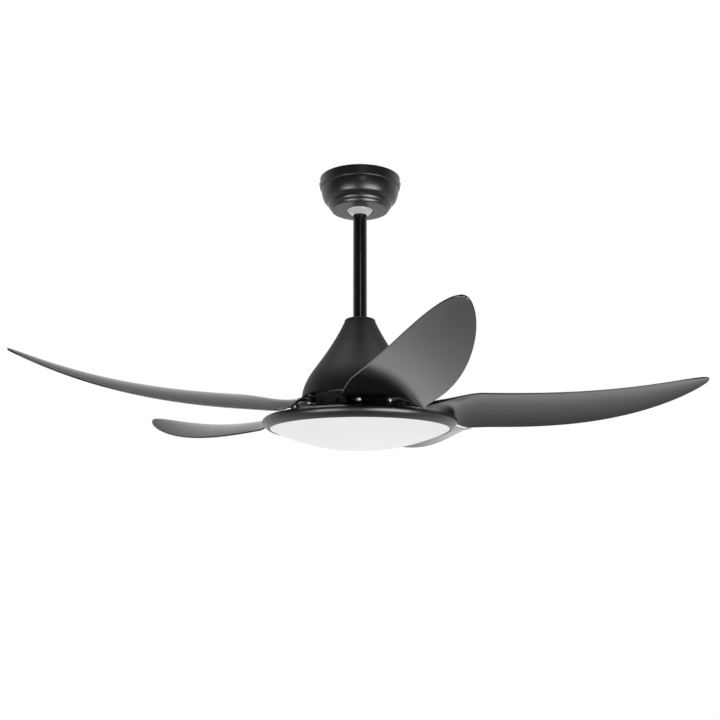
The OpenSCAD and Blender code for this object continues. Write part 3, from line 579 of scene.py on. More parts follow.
@dataclass
class Shell:
    """Vertices and faces gathered for one piece."""

    verts: list[tuple[float, float, float]] = field(default_factory=list)
    faces: list[tuple[int, ...]] = field(default_factory=list)

    def lathe(
        self,
        outline: Profile,
        steps: int = 192,
        centre: Pair = (0.0, 0.0),
        span: Pair | None = None,
    ) -> "Shell":
        """Turns a closed outline about an upright axis.

        Args:
            outline: radius and height of its points; points at radius 0 become poles.
            steps: number of segments.
            centre: x and y of the axis.
            span: first and last angle in degrees of a part turn, or None for a whole one.

        Returns:
            This shell.
        """
        whole = span is None
        first, last = (0.0, 360.0) if whole else span
        rows = steps if whole else steps + 1
        columns: list[list[int]] = []
        for r, z in outline:
            start = len(self.verts)
            if r < 1e-7:
                self.verts.append((centre[0], centre[1], z))
                columns.append([start] * rows)
                continue
            for i in range(rows):
                a = math.radians(first + (last - first) * i / steps)
                self.verts.append((centre[0] + r * math.cos(a), centre[1] + r * math.sin(a), z))
            columns.append(list(range(start, start + rows)))
        count = len(outline)
        for j in range(count):
            low, high = columns[j], columns[(j + 1) % count]
            if low[0] == low[-1] and high[0] == high[-1]:
                continue
            for i in range(steps):
                k = (i + 1) % rows
                corners = (low[i], low[k], high[k], high[i])
                self.faces.append(tuple(dict.fromkeys(corners)))
        if not whole:
            self.faces.append(tuple(c[0] for c in columns))
            self.faces.append(tuple(c[-1] for c in reversed(columns)))
        return self

    def loft(self, rings: np.ndarray) -> "Shell":
        """Skins a row of closed rings and closes both ends.

        Args:
            rings: rings by points by 3.

        Returns:
            This shell.
        """
        base = len(self.verts)
        count, size = rings.shape[:2]
        self.verts.extend(map(tuple, rings.reshape(-1, 3).tolist()))
        for i in range(count - 1):
            for j in range(size):
                a, b = base + i * size + j, base + i * size + (j + 1) % size
                self.faces.append((a, b, b + size, a + size))
        self._close(base, size, False)
        self._close(base + (count - 1) * size, size, True)
        return self

    def _close(self, start: int, size: int, flip: bool) -> None:
        """Closes a ring of an even number of points with strips between its two long sides.

        Args:
            start: the ring's first vertex, at one end of the ring's long axis.
            size: its number of points.
            flip: whether its faces look the other way.
        """
        for j in range(size // 2):
            corners = (j, j + 1, size - j - 1, (size - j) % size)
            loop = tuple(start + k for k in dict.fromkeys(corners))
            self.faces.append(loop[::-1] if flip else loop)

    def piece(self, name: str, crease: float = 32.0) -> bpy.types.Object:
        """Makes the object, smooth apart from its sharp edges.

        Args:
            name: the piece's name.
            crease: edges that turn by more degrees than this stay sharp.

        Returns:
            The object, linked to the scene.
        """
        mesh = bpy.data.meshes.new(name)
        mesh.from_pydata(self.verts, [], self.faces)
        made = bpy.data.objects.new(name, mesh)
        bpy.context.scene.collection.objects.link(made)
        turn_outwards(made)
        smooth(made, crease)
        return made


def turn_outwards(piece: bpy.types.Object) -> None:
    """Makes a closed mesh's faces look outwards.

    Args:
        piece: the mesh object.
    """
    work = bmesh.new()
    work.from_mesh(piece.data)
    bmesh.ops.remove_doubles(work, verts=work.verts, dist=1e-7)
    bmesh.ops.recalc_face_normals(work, faces=work.faces)
    work.to_mesh(piece.data)
    work.free()


def smooth(piece: bpy.types.Object, crease: float) -> None:
    """Shades a mesh smooth and marks its sharp edges.

    Args:
        piece: the mesh object.
        crease: edges that turn by more degrees than this stay sharp.
    """
    piece.data.polygons.foreach_set("use_smooth", [True] * len(piece.data.polygons))
    piece.data.set_sharp_from_angle(angle=math.radians(crease))
    piece.data.update()


def cut(piece: bpy.types.Object, cutters: Iterable[bpy.types.Object], crease: float = 32.0) -> None:
    """Takes solids out of a piece.

    Args:
        piece: the piece that is cut.
        cutters: the solids, which are removed from the scene.
        crease: sharp-edge angle for the result.
    """
    for cutter in cutters:
        step = piece.modifiers.new("cut", "BOOLEAN")
        step.operation = "DIFFERENCE"
        step.solver = "EXACT"
        step.object = cutter
        graph = bpy.context.evaluated_depsgraph_get()
        result = bpy.data.meshes.new_from_object(piece.evaluated_get(graph))
        piece.modifiers.clear()
        piece.data = result
        bpy.data.objects.remove(cutter)
    smooth(piece, crease)


def rod_between(name: str, start: Vector, end: Vector, radius: float) -> bpy.types.Object:
    """Round bar between two points, used as a cutter.

    Args:
        name: the object's name.
        start: centre of one end.
        end: centre of the other end.
        radius: its radius.

    Returns:
        The object.
    """
    length = (end - start).length
    bar = Shell().lathe([(0.0, 0.0), (radius, 0.0), (radius, length), (0.0, length)], 32)
    made = bar.piece(name)
    turn = (end - start).to_track_quat("Z", "Y").to_matrix().to_4x4()
    made.data.transform(Matrix.Translation(start) @ turn)
    return made


def place(piece: bpy.types.Object, body: str, slot: str, finish: Finish, *nodes: str) -> None:
    """Puts a finished piece on its body in the place of its nodes.

    Args:
        piece: the piece.
        body: the body that it rides on.
        slot: the record's material slot; not used.
        finish: its finish.
        nodes: the nodes that it stands for.
    """
    piece.data.materials.clear()
    piece.data.materials.append(material_of(finish))
    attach(piece, body)
    if nodes:
        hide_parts(*nodes)
    LOG.info("%s: %d faces", piece.name, len(piece.data.polygons))


def dress(finish: Finish, *nodes: str) -> None:
    """Gives nodes of the frame a finish.

    Args:
        finish: the finish.
        nodes: the nodes' names.
    """
    for name in nodes:
        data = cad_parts[name].data
        data.materials.clear()
        data.materials.append(material_of(finish))
        LOG.info("%s: %s", name, finish.name)


def height(node: str) -> Pair:
    """Lowest and highest z of a node."""
    low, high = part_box(node)
    return low.z, high.z


def radius(node: str) -> float:
    """Half of a node's width along X."""
    low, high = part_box(node)
    return (high.x - low.x) / 2


# -------------------------------------------------------------------------------- sub-assemblies


class SubAssembly:
    """A part of the fan, with pieces to build and nodes of the frame to dress."""

    def build(self) -> None:
        """Builds the pieces that stand for a node; some parts have none."""

    def dress(self) -> None:
        """Gives the nodes that stay their finishes; some parts have none."""


@dataclass(frozen=True)
class Bend:
    """An arc of a turned outline, whose centre is given from the outline's rim."""

    inset: float
    level: float
    radius: float
    start: float
    end: float
    steps: int

    def points(self, rim: float, base: float = 0.0) -> Profile:
        """Its points, where the inset counts from the rim and the level from the base."""
        return arc((rim - self.inset, base + self.level), self.radius, self.start, self.end,
                   self.steps)


@dataclass
class CeilingMount(SubAssembly):
    """Canopy with the bracket, receiver and terminals that it hides."""

    wall: float = 0.0014
    lip: float = 0.0004
    rim_depth: float = 0.0165
    ledge: Bend = Bend(0.002, -0.017, 0.002, 0, -70, 8)
    belly: Bend = Bend(0.0528, -0.020, 0.050, 0, -27, 20)
    groove: Profile = field(default_factory=lambda: [(0.0115, -0.0454), (0.0138, -0.047)])
    step: Bend = Bend(0.026, 0.0135, 0.0105, 0, -58, 12)
    floor_edge: Bend = Bend(0.0246, 0.004, 0.004, -50, -90, 8)
    screw_drop: float = 0.009
    screw_hole: float = 0.0022
    screw_reach: Pair = (0.06, 0.01)
    ball_hole: float = 0.0245
    segments: int = 240

    def outline(self, inset: float) -> Profile:
        """Outside or inside of the stepped bowl, from the rim down to the axis.

        Args:
            inset: 0 for the outside, the sheet's thickness for the inside.

        Returns:
            Radius and height of its points.
        """
        r = radius("canopy") - inset
        low = height("canopy")[0]
        (upper_in, upper_z), (lower_in, lower_z) = self.groove
        return (
            [(r, 0.0), (r, -self.rim_depth)]
            + self.ledge.points(r)
            + self.belly.points(r)
            + [(r - upper_in, upper_z + inset * 0.4), (r - lower_in, lower_z + inset * 0.8)]
            + self.step.points(r, low)
            + self.floor_edge.points(r, low + inset)
        )

    def build(self) -> None:
        """Builds the canopy and cuts its screw holes."""
        low = height("canopy")[0]
        hole, lip, top = self.ball_hole, self.lip, low + self.wall
        section = (
            self.outline(0.0)
            + [(hole + lip, low), (hole, low + lip), (hole, top - lip), (hole + lip, top)]
            + self.outline(self.wall)[::-1]
        )
        canopy = Shell().lathe(section, self.segments).piece("ceiling_canopy")
        start, spare = self.screw_reach
        holes = [
            rod_between(
                "canopy_hole", Vector((side * start, 0, -self.screw_drop)),
                Vector((side * (radius("canopy") + spare), 0, -self.screw_drop)), self.screw_hole,
            )
            for side in (-1, 1)
        ]
        cut(canopy, holes)
        place(canopy, "ceiling_mount", "black_enamel", ENAMEL, "canopy")

    def dress(self) -> None:
        """Gives the hidden pieces their finishes."""
        dress(ZINC, "hanging_bracket", "receiver_screws")
        dress(BLACK_OXIDE, "canopy_screws")
        dress(GREY_CASE, "remote_receiver")
        dress(WHITE_MOULDING, "terminal_block")
        dress(GREEN_SCREW, "earth_screw")


@dataclass
class HangingRod(SubAssembly):
    """Ball, downrod and coupler, with the lead that runs through them."""

    wall: float = 0.002
    chamfer: float = 0.0006
    pin_hole: float = 0.0031
    pin_reach: float = 0.02
    segments: int = 128
    sleeve: float = 0.0025
    sleeve_sides: int = 24
    lead_start: float = 0.01
    lead_bend: Pair = (0.013, -0.002)
    lead_exit: float = 0.0245
    bend_steps: int = 16

    def build(self) -> None:
        """Builds the tube and the sleeved lead."""
        low, high = height("downrod")
        outer = radius("downrod")
        inner = outer - self.wall
        c = self.chamfer
        section = [
            (inner + c, low), (outer - c, low), (outer, low + c), (outer, high - c),
            (outer - c, high), (inner + c, high), (inner, high - c), (inner, low + c),
        ]
        rod = Shell().lathe(section, self.segments).piece("downrod_tube")
        pins = []
        for pin in ("ball_cross_pin", "coupler_pin"):
            pin_low, pin_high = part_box(pin)
            middle = (pin_low.z + pin_high.z) / 2
            ends = (Vector((side * self.pin_reach, 0, middle)) for side in (-1, 1))
            pins.append(rod_between("pin_hole", *ends, self.pin_hole))
        cut(rod, pins)
        place(rod, "hanging_frame", "black_enamel", ROD_ENAMEL, "downrod")
        self.build_lead()

    def build_lead(self) -> None:
        """Builds the lead: down beside the pins, to the middle, and out to the LED driver."""
        low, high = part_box("wiring_harness")
        rod_low = height("downrod")[0]
        start_y = high.y - self.sleeve
        bend_from, bend_to = (rod_low + way for way in self.lead_bend)
        exit_z = height("light_housing")[0] + self.lead_exit
        lead_z = low.z + self.sleeve
        drop = exit_z - lead_z
        path = [Vector((0, start_y, high.z)), Vector((0, start_y, high.z - self.lead_start))]
        parts = [i / self.bend_steps for i in range(self.bend_steps + 1)]
        for t in parts:
            share = t * t * (3 - 2 * t)
            path.append(Vector((0, start_y * (1 - share), bend_from + (bend_to - bend_from) * t)))
        for t in parts:
            a = math.pi / 2 * t
            path.append(Vector((drop * (1 - math.cos(a)), 0, exit_z - drop * math.sin(a))))
        path.append(Vector((high.x, 0, lead_z)))
        rings = []
        side = Vector((1, 0, 0))
        for i, here in enumerate(path):
            ahead = (path[min(i + 1, len(path) - 1)] - path[max(i - 1, 0)]).normalized()
            side = (side - ahead * side.dot(ahead)).normalized()
            other = ahead.cross(side)
            angles = (FULL_TURN * k / self.sleeve_sides for k in range(self.sleeve_sides))
            rings.append([
                here + (side * math.cos(a) + other * math.sin(a)) * self.sleeve for a in angles
            ])
        lead = Shell().loft(np.array(rings)).piece("sleeved_lead", 50.0)
        braid = Braid(
            "wire_sleeve", (0.02, 0.02, 0.021), (0.09, 0.09, 0.095), (0.0, start_y, 0.0)
        )
        place(lead, "hanging_frame", "wire_sleeve", braid, "wiring_harness")

    def dress(self) -> None:
        """Gives the ball, the coupler and their pins their finishes."""
        dress(NYLON, "hanger_ball")
        dress(WHITE_MOULDING, "harness_plug")
        dress(ZINC, "ball_cross_pin", "coupler_pin", "cotter_clip", "housing_screws")
        dress(Turned("coupler_steel", (0.62, 0.63, 0.65), 0.28), "shaft_coupler")
        dress(BLACK_OXIDE, "ball_set_screw", "coupler_set_screws")


@dataclass
class MotorCovers(SubAssembly):
    """Sliding cone and bell-shaped housing, which share one flared outline."""

    wall: float = 0.0022
    plate: float = 0.002
    seam_gap: float = 0.0004
    seam_chamfer: float = 0.0007
    rod_clearance: float = 0.0004
    barrel_wall: float = 0.0053
    top_radius: float = 0.0285
    top_crown: float = 0.0006
    top_edge: Bend = Bend(0.005, -0.005, 0.005, 80, 15, 12)
    top_flat: float = 0.007
    top_wall: float = 0.003
    hole_lip: float = 0.0004
    edge_drop: float = 0.0056
    cone_start: float = 0.0055
    cone_pulls: tuple[Pair, Pair] = ((0.0136, -0.031), (-0.0225, 0.031))
    bell_pulls: tuple[Pair, Pair] = ((0.0122, -0.017), (-0.0009, 0.017))
    waist_out: float = 0.0552
    waist_drop: float = 0.096
    crease: float = 40.0
    segments: int = 256

    def __post_init__(self) -> None:
        """Reads the levels from the frame and works out the flare."""
        self.top = height("coupling_cover")[1] - self.top_crown
        self.base, self.seam = height("motor_housing")
        self.base_radius = radius("motor_housing")
        waist = (self.top_radius + self.waist_out, self.top - self.waist_drop)
        neck = (self.top_radius, self.top - self.cone_start)
        upper = cubic(neck, waist, self.cone_pulls, 160)
        lower = cubic(waist, (self.base_radius, self.base), self.bell_pulls, 120)
        points = np.array((upper + lower[1:])[::-1])
        self.flare_z, self.flare_r = points[:, 1], points[:, 0]

    def flare(self, start: float, end: float, steps: int, inset: float = 0.0) -> Profile:
        """Points of the flared outline between two heights, or of one that far inside it."""
        levels = np.linspace(start, end, steps + 1)
        return [(float(np.interp(z, self.flare_z, self.flare_r)) - inset, float(z)) for z in levels]

    def build(self) -> None:
        """Builds both shells."""
        bottom, lip = self.seam + self.seam_gap, self.seam_gap
        hole = radius("downrod") + self.rod_clearance
        inside = self.flare(self.top - self.top_flat, bottom, 40, self.wall)
        cone = (
            [(hole, self.top + self.hole_lip), (self.top_radius - self.top_flat, self.top)]
            + self.top_edge.points(self.top_radius, self.top)
            + self.flare(self.top - self.edge_drop, bottom + lip, 60)
            + [(self.flare(bottom, bottom, 1, lip)[0][0], bottom)]
            + inside[::-1]
            + [(hole, self.top - self.top_wall)]
        )
        cover = Shell().lathe(cone, self.segments).piece("cone_cover", self.crease)
        place(cover, "coupling_cover", "black_shell", SHELL, "coupling_cover")
        neck = radius("downrod") + self.barrel_wall
        lip = self.wall / 2
        edge = self.flare(self.seam, self.seam, 1, self.seam_chamfer)[0]
        rim_in = self.flare(self.base, self.base, 1, lip)[0][0]
        shell_inside = self.flare(self.seam - self.plate, self.base + lip, 70, self.wall)
        bell = (
            [(neck, self.seam), edge]
            + self.flare(self.seam - self.seam_chamfer, self.base + lip, 110)
            + arc((rim_in, self.base + lip), lip, -15, -165, 10)
            + shell_inside[::-1]
            + [(neck, self.seam - self.plate)]
        )
        housing = Shell().lathe(bell, self.segments).piece("bell_housing", self.crease)
        place(housing, "hanging_frame", "black_shell", SHELL, "motor_housing")


@dataclass
class Motor(SubAssembly):
    """Outer-rotor motor with its bearings, seen only when it is taken apart."""

    board_top: float = 0.0018

    def dress(self) -> None:
        """Gives the motor's pieces their finishes."""
        dress(GROUND_STEEL, "motor_shaft")
        for bearing in ("upper_bearing", "lower_bearing"):
            for piece in ("inner_ring", "outer_ring", "balls"):
                dress(GROUND_STEEL, f"{bearing}_{piece}")
            dress(BROWN_NYLON, f"{bearing}_cage")
        dress(CAST_ALUMINIUM, "stator_hub", "rotor_can")
        dress(LAMINATION, "stator_core")
        dress(COPPER, "stator_windings")
        dress(MAGNET, "rotor_magnets")
        dress(ZINC, "rotor_screws", "bearing_spacer")
        level = height("motor_board")[0] + self.board_top
        board = CircuitMask("circuit_board", (0.012, 0.11, 0.04), (0.03, 0.2, 0.08), level)
        dress(board, "motor_board")


@dataclass
class Blade:
    """One twisted, arched blade on a flat root."""

    carrier: float
    root_level: float
    tip: float = 0.610
    chord: float = 0.125
    pitch: float = math.radians(19)
    camber: float = 0.067
    thickness: float = 0.004
    root_thickness: float = 0.006
    root_half: float = 0.038
    root_corner: float = 0.009
    dip: float = 0.0025
    sag: float = 0.024
    tip_rise: float = 0.068
    heel: float = 0.006
    heel_place: float = 0.056
    heel_spread: float = 0.032
    twist_start: float = 0.002
    lead_run: float = 0.095
    trail_run: float = 0.070
    lead_flare: Pair = (-0.014, 0.036)
    trail_flare: Pair = (0.002, 0.046)
    widest: float = 0.3
    taper: Pair = (2.8, 0.545)
    thin_edge: float = 0.2
    thin_tip: float = 0.2
    twist_length: float = 0.110
    root_length: float = 0.022
    tip_trim: float = 0.0006
    tip_round: float = 0.001
    tip_bunching: float = 1.8
    thinnest: float = 0.25
    edge: float = 0.0014
    chord_steps: int = 26
    edge_steps: int = 6

    @staticmethod
    def ease(x: np.ndarray | float) -> np.ndarray | float:
        """Smooth step from 0 at 0 to 1 at 1."""
        t = np.clip(x, 0.0, 1.0)
        return t * t * (3 - 2 * t)

    def share(self, u: float, w: np.ndarray | float = 0.0) -> np.ndarray | float:
        """Share of the full section, u from the axis and w across it.

        Args:
            u: distance from the fan's axis.
            w: place across the blade, -1 at the leading edge and 1 at the trailing edge.

        Returns:
            0 on the flat root, 1 on the full blade.
        """
        run = u - self.carrier - self.twist_start
        lead, trail = self.ease(run / self.lead_run), self.ease(run / self.trail_run)
        return lead + (trail - lead) * (np.asarray(w) + 1) / 2

    def width(self, u: float) -> float:
        """Chord of the full blade.

        Args:
            u: distance from the fan's axis.

        Returns:
            The chord.
        """
        x = max((u - self.widest * self.tip) / ((1 - self.widest) * self.tip), 0.0)
        power, fullness = self.taper
        return self.chord * max(1 - x ** power, 0.0) ** fullness

    def halves(self, u: float) -> Pair:
        """Half widths on the leading and on the trailing side.

        Args:
            u: distance from the fan's axis.

        Returns:
            The two half widths.
        """
        full = self.width(u) / 2
        lead_share, trail_share = (
            self.ease((u - self.carrier - start) / run)
            for start, run in (self.lead_flare, self.trail_flare)
        )
        heel_x = (u - self.carrier - self.heel_place) / self.heel_spread
        heel = self.heel * math.exp(-heel_x ** 2)
        lead = self.root_half + (full - self.root_half) * lead_share
        trail = self.root_half + (full - self.root_half) * trail_share + heel
        inset = max(self.root_corner - (u - self.root_in), 0.0)
        round_off = self.root_corner - math.sqrt(self.root_corner ** 2 - inset ** 2)
        return float(lead - round_off), float(trail - round_off)

    @property
    def root_in(self) -> float:
        """Inner end of the root."""
        return self.carrier - self.root_length

    def ring(self, u: float, thinning: float = 1.0) -> np.ndarray:
        """Closed section of the blade with rounded edges.

        Args:
            u: distance from the fan's axis.
            thinning: factor on the thickness.

        Returns:
            Its points, starting at the leading edge.
        """
        lead, trail = self.halves(u)
        nose, heel = min(self.edge, lead * 0.4), min(self.edge, trail * 0.4)
        turn = np.linspace(0, math.pi / 2, self.edge_steps + 1)
        middle = -np.cos(np.linspace(0, math.pi, self.chord_steps + 1))[1:-1]
        across = (middle + 1) / 2 * (lead - nose + trail - heel) - (lead - nose)
        v = np.concatenate([
            -(lead - nose) - nose * np.cos(turn), across, trail - heel + heel * np.cos(turn[::-1])
        ])
        lift = np.concatenate([np.sin(turn), np.ones_like(across), np.sin(turn[::-1])])
        v = np.concatenate([v, v[-2:0:-1]])
        lift = np.concatenate([lift, -lift[-2:0:-1]])
        w = np.where(v < 0, v / lead, v / trail)
        angle = self.pitch * self.share(u, w)
        across_factor = 1 - self.thin_edge + self.thin_edge * np.sqrt(np.clip(1 - w ** 4, 0, None))
        skin = self.thickness * across_factor * (1 - self.thin_tip * u / self.tip)
        share = self.share(u, w)
        thick = self.root_thickness + (skin - self.root_thickness) * share
        arch = self.camber * self.width(u) * self.share(u) * (1 - w * w)
        rise = arch + lift * thick * thinning / 2
        start = self.carrier + self.twist_start
        x = max((u - start) / (self.tip - start), 0.0)
        middle_line = (
            self.root_level - self.dip * self.share(u) - self.sag * x + self.tip_rise * x ** 3
        )
        return np.stack([
            np.full_like(v, u),
            v * np.cos(angle) + rise * np.sin(angle),
            middle_line - v * np.sin(angle) + rise * np.cos(angle),
        ], axis=1)

    def stations(self) -> list[Pair]:
        """Distances from the axis of the blade's sections, with their thinning."""
        corner = [self.root_in + self.root_corner * (1 - math.cos(a))
                  for a in np.linspace(0, math.pi / 2, 7)]
        flat = np.linspace(corner[-1], self.carrier, 8)[1:-1]
        twist = np.linspace(self.carrier, self.carrier + self.twist_length, 48)
        end = self.tip - self.tip_trim
        way = 1 - (1 - np.linspace(0, 1, 84)) ** self.tip_bunching
        outer = twist[-1] + (end - self.tip_round - twist[-1]) * way
        found = [(float(u), 1.0) for u in (*corner, *flat, *twist, *outer[1:])]
        for a in np.linspace(0, math.pi / 2, 6)[1:]:
            u = end - self.tip_round * (1 - math.sin(a))
            found.append((u, max(math.cos(a), self.thinnest)))
        return found

    def build(self, name: str, azimuth: float) -> bpy.types.Object:
        """Builds the blade.

        Args:
            name: the piece's name.
            azimuth: its direction in degrees.

        Returns:
            The piece.
        """
        rings = np.array([self.ring(u, thin) for u, thin in self.stations()])
        made = Shell().loft(rings).piece(name, 60.0)
        made.data.transform(Matrix.Rotation(math.radians(azimuth), 4, "Z"))
        return made


@dataclass
class Rotor(SubAssembly):
    """Blade carrier with five blades."""

    first: float = -6.0
    count: int = 5
    carrier_depth: float = 0.018
    root_drop: float = 0.0085

    def build(self) -> None:
        """Builds the blades."""
        carrier_top = height("blade_carrier")[0] + self.carrier_depth
        blade = Blade(radius("blade_carrier"), carrier_top - self.root_drop)
        for i in range(self.count):
            made = blade.build(f"fan_blade_{i + 1}", self.first + i * 360 / self.count)
            place(made, "rotor", "black_blade", BLADE_SKIN, f"blade_{i + 1}")

    def dress(self) -> None:
        """Gives the carrier and the blade fasteners their finishes."""
        dress(SHELL, "blade_carrier")
        dress(ZINC, "blade_screws", "blade_washers")


@dataclass
class RoundLight(SubAssembly):
    """Pan, opal diffuser and LED board."""

    depth: float = 0.0255
    pan_wall: float = 0.002
    pan_hole: float = 0.015
    mount_radius: float = 0.045
    mount_boss: float = 0.006
    mount_hole: float = 0.0022
    mount_count: int = 3
    board_margin: float = 0.008
    board_boss: float = 0.004
    board_chamfer: float = 0.0003
    board_hole: float = 0.0015
    board_count: int = 6
    boss_chamfer: float = 0.0004
    boss_sink: float = 0.001
    bore_inset: float = 0.012
    skirt: float = 0.003
    skirt_height: float = 0.010
    dome_wall: float = 0.002
    diffuser_gap: float = 0.0016
    lug_gap: float = 0.0004
    lug_height: float = 0.002
    lug_rise: float = 0.005
    lug_angle: float = 5.0
    lug_sink: float = 0.0004
    lug_fillet: float = 0.0003
    mouth_round: Pair = (0.0002, 0.0003)
    mouth_height: float = 0.001
    wall_top: float = 0.0095
    roof_bend: Pair = (0.028, 0.0055)
    shoulder: Pair = (0.055, 0.0)
    brow: Pair = (0.0055, 0.006)
    brow_drop: float = 0.012
    shoulder_pulls: tuple[Pair, Pair] = ((0.025, 0.0), (-0.0105, 0.003))
    brow_pulls: tuple[Pair, Pair] = ((0.0037, -0.0012), (0.0, 0.003))
    cheek_pulls: tuple[Pair, Pair] = ((0.0, -0.0055), (0.0055, 0.0025))
    dome_steps: int = 60
    dome_chamfer: float = 0.0005
    slot_play: float = 0.3
    twist: float = 20.0
    lugs: tuple[float, ...] = (90.0, 210.0, 330.0)
    segments: int = 288

    def __post_init__(self) -> None:
        """Reads the levels and radii from the frame."""
        self.bottom = height("light_housing")[0]
        self.top = self.bottom + self.depth
        self.outer = radius("light_housing")
        self.bore = self.outer - self.bore_inset
        self.dome_low, self.skirt_top = height("diffuser")
        self.dome_top = self.skirt_top - self.skirt_height
        self.glass = self.bore - self.diffuser_gap

    def outline(self) -> Profile:
        """Outside of the pan, from its middle hole to its lower lip."""
        shoulder, brow, widest = (
            (self.outer - inset, self.top - drop)
            for inset, drop in (self.shoulder, self.brow, (0.0, self.brow_drop))
        )
        return (
            [(self.pan_hole, self.top)]
            + cubic(shoulder, brow, self.shoulder_pulls, 20)
            + cubic(brow, widest, self.brow_pulls, 14)[1:]
            + cubic(widest, (self.bore, self.bottom), self.cheek_pulls, 22)[1:]
        )

    def build(self) -> None:
        """Builds the pan with its bosses and lugs, and the diffuser."""
        r, top = self.outer, self.top
        (mouth_in, mouth_up), (bend_in, bend_drop) = self.mouth_round, self.roof_bend
        inside = [
            (self.bore - mouth_in, self.bottom + mouth_up),
            (self.bore, self.bottom + self.mouth_height),
            (self.bore, top - self.wall_top), (r - bend_in, top - bend_drop),
            (r - self.shoulder[0], top - self.pan_wall), (self.pan_hole, top - self.pan_wall),
        ]
        shell = Shell().lathe(self.outline() + inside, self.segments)
        self.add_bosses(shell)
        self.add_lugs(shell)
        pan = shell.piece("light_pan", 38.0)
        place(pan, "hanging_frame", "black_enamel", ENAMEL, "light_housing")
        self.build_diffuser()

    def add_bosses(self, shell: Shell) -> None:
        """Adds the hollow bosses of the LED board and of the mounting plate.

        Args:
            shell: the pan.
        """
        board = height("led_board")[1]
        ring = radius("led_board") - self.board_margin
        hole, boss, foot = self.board_hole, self.board_boss, self.top - self.boss_sink
        c = self.board_chamfer
        section = [(hole, board), (boss - c, board), (boss, board + c), (boss, foot), (hole, foot)]
        for i in range(self.board_count):
            a = FULL_TURN * (i + 0.5) / self.board_count
            shell.lathe(section, 32, (ring * math.cos(a), ring * math.sin(a)))
        plate = height("light_mount_plate")[0]
        hole, boss, ring, c = self.mount_hole, self.mount_boss, self.mount_radius, self.boss_chamfer
        section = [(hole, foot), (boss, foot), (boss, plate - c), (boss - c, plate), (hole, plate)]
        for i in range(self.mount_count):
            a = FULL_TURN * i / self.mount_count
            shell.lathe(section, 40, (ring * math.cos(a), ring * math.sin(a)))

    def add_lugs(self, shell: Shell) -> None:
        """Adds the three bayonet lugs.

        Args:
            shell: the pan.
        """
        low = self.dome_top + self.lug_rise
        high = low + self.lug_height
        inner, outer = self.glass - self.skirt - self.lug_gap, self.bore + self.lug_sink
        section = filleted([(inner, low, self.lug_fillet), (outer, low, 0), (outer, high, 0),
                            (inner, high, self.lug_fillet)], 3)
        for azimuth in self.lugs:
            shell.lathe(section, 8, span=(azimuth - self.lug_angle / 2,
                                          azimuth + self.lug_angle / 2))

    def build_diffuser(self) -> None:
        """Builds the opal dome and cuts its bayonet slots."""
        depth = self.dome_top - self.dome_low
        sphere = (self.glass ** 2 + depth ** 2) / (2 * depth)
        centre = (0.0, self.dome_low + sphere)
        out_angle = math.degrees(math.asin(self.glass / sphere))
        in_angle = math.degrees(math.asin((self.glass - self.skirt) / (sphere - self.dome_wall)))
        c, steps, top = self.dome_chamfer, self.dome_steps, self.skirt_top
        out_r, in_r = self.glass, self.glass - self.skirt
        section = (
            [(0.0, self.dome_low)]
            + arc(centre, sphere, out_angle / steps - 90, out_angle - 90, steps - 1)
            + [(out_r, top - c), (out_r - c, top), (in_r + c, top), (in_r, top - c)]
            + arc(centre, sphere - self.dome_wall, in_angle - 90, in_angle / steps - 90, steps - 1)
            + [(0.0, self.dome_low + self.dome_wall)]
        )
        dome = Shell().lathe(section, self.segments).piece("opal_diffuser", 25.0)
        low = self.dome_top + self.lug_rise - self.lug_gap
        high = low + self.lug_height + 2 * self.lug_gap
        spare = 0.001
        inner, outer = in_r - spare, out_r + spare
        reach = self.lug_angle / 2 + self.slot_play
        cutters = []
        for azimuth in self.lugs:
            for top, last in ((high, reach), (self.skirt_top + spare, reach - self.twist)):
                block = Shell().lathe(
                    [(inner, low), (outer, low), (outer, top), (inner, top)], 24,
                    span=(azimuth - self.twist - reach, azimuth + last),
                )
                cutters.append(block.piece("slot_cutter"))
        cut(dome, cutters, 25.0)
        place(dome, "diffuser", "opal", OPAL, "diffuser")

    def dress(self) -> None:
        """Gives the light's inner pieces their finishes."""
        dress(ZINC, "light_mount_plate", "shaft_nut", "light_housing_screws",
              "led_board_screws")
        dress(WHITE_MOULDING, "led_driver")
        mask = (0.8, 0.81, 0.81)
        dress(CircuitMask("white_board", mask, (0.72, 0.74, 0.74), 0.0, mask), "led_board")
        dress(PHOSPHOR, "led_chips")


class Share(Enum):
    """Which part of a soft light's light is used."""

    REFLECTION = "glossy"
    FILL = "diffuse"


@dataclass(frozen=True)
class Softbox:
    """A soft rectangular light that faces the fan and can't be seen itself."""

    name: str
    azimuth: float
    rise: float
    distance: float
    size: Pair
    radiance: float
    share: Share = Share.REFLECTION

    def build(self, aim: Vector) -> None:
        """Adds the light.

        Args:
            aim: the point that it faces and stands round, from the front and to the right.
        """
        lamp = bpy.data.lights.new(self.name, "AREA")
        lamp.shape = "RECTANGLE"
        lamp.size, lamp.size_y = self.size
        lamp.energy = self.radiance * math.pi * self.size[0] * self.size[1]
        a, e = math.radians(self.azimuth), math.radians(self.rise)
        way = Vector((math.sin(a) * math.cos(e), -math.cos(a) * math.cos(e), math.sin(e)))
        made = bpy.data.objects.new(self.name, lamp)
        made.location = aim + way * self.distance
        made.rotation_euler = way.to_track_quat("Z", "Y").to_euler()
        made.visible_camera = False
        made.visible_diffuse = self.share is Share.FILL
        made.visible_glossy = self.share is Share.REFLECTION
        bpy.context.scene.collection.objects.link(made)
        LOG.info("%s: %s light", self.name, self.share.value)


